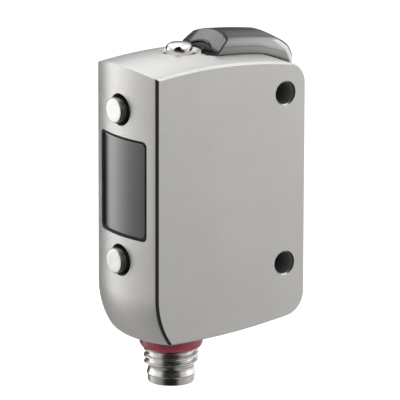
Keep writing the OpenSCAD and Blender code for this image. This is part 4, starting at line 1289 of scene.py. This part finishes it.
@dataclass
class Studio:
    """Camera, floor, soft lights and a tent that only reflections see."""

    back_az: float = 37.19
    back_el: float = 15.06
    roll: float = 0.15
    distance: float = 673.2
    shift: tuple[float, float] = (4.1548, 2.9334)
    aim: tuple[float, float, float] = (-0.2, -0.25, 24.144)
    lens: float = 419.79
    tent_r: float = 280.0
    tent_glow: float = 2.35
    sky_glow: float = 0.9
    floor_r: float = 8000.0
    floor_z: float = -300.0
    floor_glow: float = 0.35
    walls: Stops = (
        (-180.0, "949392"), (-173.0, "7C7B7A"), (-165.0, "191918"), (-88.0, "191918"), (-76.0, "8A8988"),
        (-53.0, "A1A09F"), (-42.0, "C4C3C2"), (-30.0, "DCDBDA"), (-18.0, "CCCBCA"), (0.0, "B4B3B2"), (20.0, "CDCCCB"),
        (40.0, "888786"), (56.0, "3A3A39"), (70.0, "4A4948"), (80.0, "181817"), (104.0, "181817"), (112.0, "F5F4F3"),
        (120.0, "FCFBFA"), (130.0, "E7E6E5"), (140.0, "C7C6C5"), (150.0, "B5B4B3"), (160.0, "A7A6A5"),
        (170.0, "9F9E9D"),
    )
    ceiling: Stops = (
        (-180.0, "F0EFED"), (-172.0, "A09F9D"), (-166.0, "0C0C0B"), (-110.0, "0C0C0B"), (-102.0, "A09F9D"),
        (-92.0, "F0EFED"), (0.0, "FFFFFF"), (20.0, "DCDCDB"), (40.0, "C8C8C7"), (52.0, "FFFFFF"),
    )
    ground: Stops = (
        (-180.0, "5C5B5A"), (-170.0, "4A4948"), (-158.0, "0C0C0B"), (-98.0, "0C0C0B"), (-84.0, "737270"),
        (100.0, "737270"), (125.0, "7A7978"), (150.0, "6C6B6A"), (165.0, "5E5D5C"),
    )

    def camera(self) -> None:
        """Places the camera as fitted to the photograph: far away, with a long lens."""
        a, e, r = (math.radians(v) for v in (self.back_az, self.back_el, self.roll))
        back = np.array([-math.sin(a) * math.cos(e), -math.cos(a) * math.cos(e), math.sin(e)])
        right = np.array([math.cos(a), -math.sin(a), 0.0])
        up = np.cross(back, right)
        right, up = right * math.cos(r) + up * math.sin(r), up * math.cos(r) - right * math.sin(r)
        place = np.array(self.aim) + back * self.distance + right * self.shift[0] + up * self.shift[1]
        data = bpy.data.cameras.new("camera")
        data.lens, data.sensor_width, data.clip_start, data.clip_end = self.lens, 36.0, 0.01, 50.0
        camera = bpy.data.objects.new("camera", data)
        turn = np.eye(4)
        turn[:3, 0], turn[:3, 1], turn[:3, 2], turn[:3, 3] = right, up, back, place * MM
        camera.matrix_world = Matrix(turn.tolist())
        bpy.context.scene.collection.objects.link(camera)
        bpy.context.scene.camera = camera

    def place(self, prop: Object, paint: Material) -> None:
        """Paints a prop of the studio."""
        prop.data.materials.append(paint)

    def floor(self) -> None:
        """A wide matte floor, low enough that the part's shadow is lost in the soft light."""
        paint, tree = blank("floor_matte_white")
        surface = add(tree, "BsdfDiffuse", {"Color": linear("FAFAFA")})
        glow = add(tree, "Emission", {"Color": linear("FFFFFF"), "Strength": self.floor_glow})
        add(tree, "OutputMaterial", {"Surface": add(tree, "AddShader", {0: surface, 1: glow})})
        angle = np.linspace(0.0, 2.0 * np.pi, 64, endpoint=False)
        ring = Axis.Z.points(self.floor_r * np.cos(angle), self.floor_r * np.sin(angle), np.array(self.floor_z))
        self.place(piece_from("floor", ring, [np.arange(64)[None]]), paint)

    def world(self) -> None:
        """An even pale sky."""
        world = bpy.data.worlds.new("studio_sky")
        world.use_nodes = True
        sky = world.node_tree.nodes["Background"].inputs
        sky["Color"].default_value, sky["Strength"].default_value = linear("FFFFFF"), self.sky_glow
        bpy.context.scene.world = world

    def tent(self) -> None:
        """A sphere of soft panels, seen only in reflections.

        The walls, the ceiling and the ground each have a tone that is a ramp over the compass angle, and
        they run into one another by height. The camera's side is dark, as in a photographer's tent.
        """
        cloth, tree = blank("tent_panels")
        part = add(tree, "SeparateXYZ", {0: add(tree, "TexCoord").outputs["Object"]}).outputs
        angle = add(tree, "Math", {0: part["Y"], 1: part["X"]}, operation="ARCTAN2")
        turn = add(tree, "MapRange", {"Value": angle, "From Min": -math.pi, "From Max": math.pi})
        rise = add(tree, "MapRange", {"Value": part["Z"], "From Min": -self.tent_r * MM, "From Max": self.tent_r * MM})

        def around(stops: Stops) -> Node:
            """Tones over the compass angle in degrees."""
            return add(tree, "ValToRGB", {0: turn}, [(degrees / 360.0 + 0.5, code) for degrees, code in stops])

        def upward(*stops: tuple[float, str]) -> Node:
            """Tones over the height, from zero at the lowest point to one at the highest."""
            return add(tree, "ValToRGB", {0: rise}, stops)

        def mixed(share: object, first: Node, second: Node, how: str = "MIX") -> Node:
            """Two tones mixed by a share."""
            return add(tree, "Mix", {0: share, 6: first, 7: second}, data_type="RGBA", blend_type=how)

        fall = upward((0.3, "D2D2D2"), (0.38, "DADADA"), (0.43, "EEEEEE"), (0.48, "FFFFFF"))
        walls = mixed(1.0, around(self.walls), fall, "MULTIPLY")
        lower = mixed(upward((0.26, "FFFFFF"), (0.37, "000000")), walls, around(self.ground))
        swell = upward((0.6, "B8B8B8"), (0.76, "ABABAB"), (0.86, "E4E4E4"))
        roof = mixed(1.0, around(self.ceiling), swell, "MULTIPLY")
        tone = mixed(upward((0.67, "000000"), (0.74, "FFFFFF")), lower, roof)
        add(tree, "OutputMaterial", {"Surface": add(tree, "Emission", {"Color": tone, "Strength": self.tent_glow})})
        theta = np.linspace(0.0, np.pi, 33)[:, None]
        phi = np.linspace(0.0, 2.0 * np.pi, 64, endpoint=False)
        ball = self.tent_r * Axis.Z.points(np.sin(theta) * np.cos(phi), np.sin(theta) * np.sin(phi), np.cos(theta))
        tent = piece_from("tent", ball.reshape(-1, 3), [grid_faces(33, 64)])
        tent.visible_camera = tent.visible_diffuse = tent.visible_shadow = tent.visible_transmission = False
        self.place(tent, cloth)

    def build(self) -> None:
        """Sets the studio up."""
        self.camera()
        self.floor()
        self.world()
        self.tent()
        bpy.context.scene.view_settings.view_transform = "Standard"


def main() -> None:
    """Builds the sensor over the frame, sub-assembly by sub-assembly."""
    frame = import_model()
    Studio().build()
    finishes, form = Finishes(), CaseForm()
    Inside(finishes).dress(frame["nodes"], frame["record"]["subparts"])
    for assembly in (Case, DisplayFace, Lamp, Connector):
        assembly(finishes, form).build()


if __name__ == "__main__":
    main()
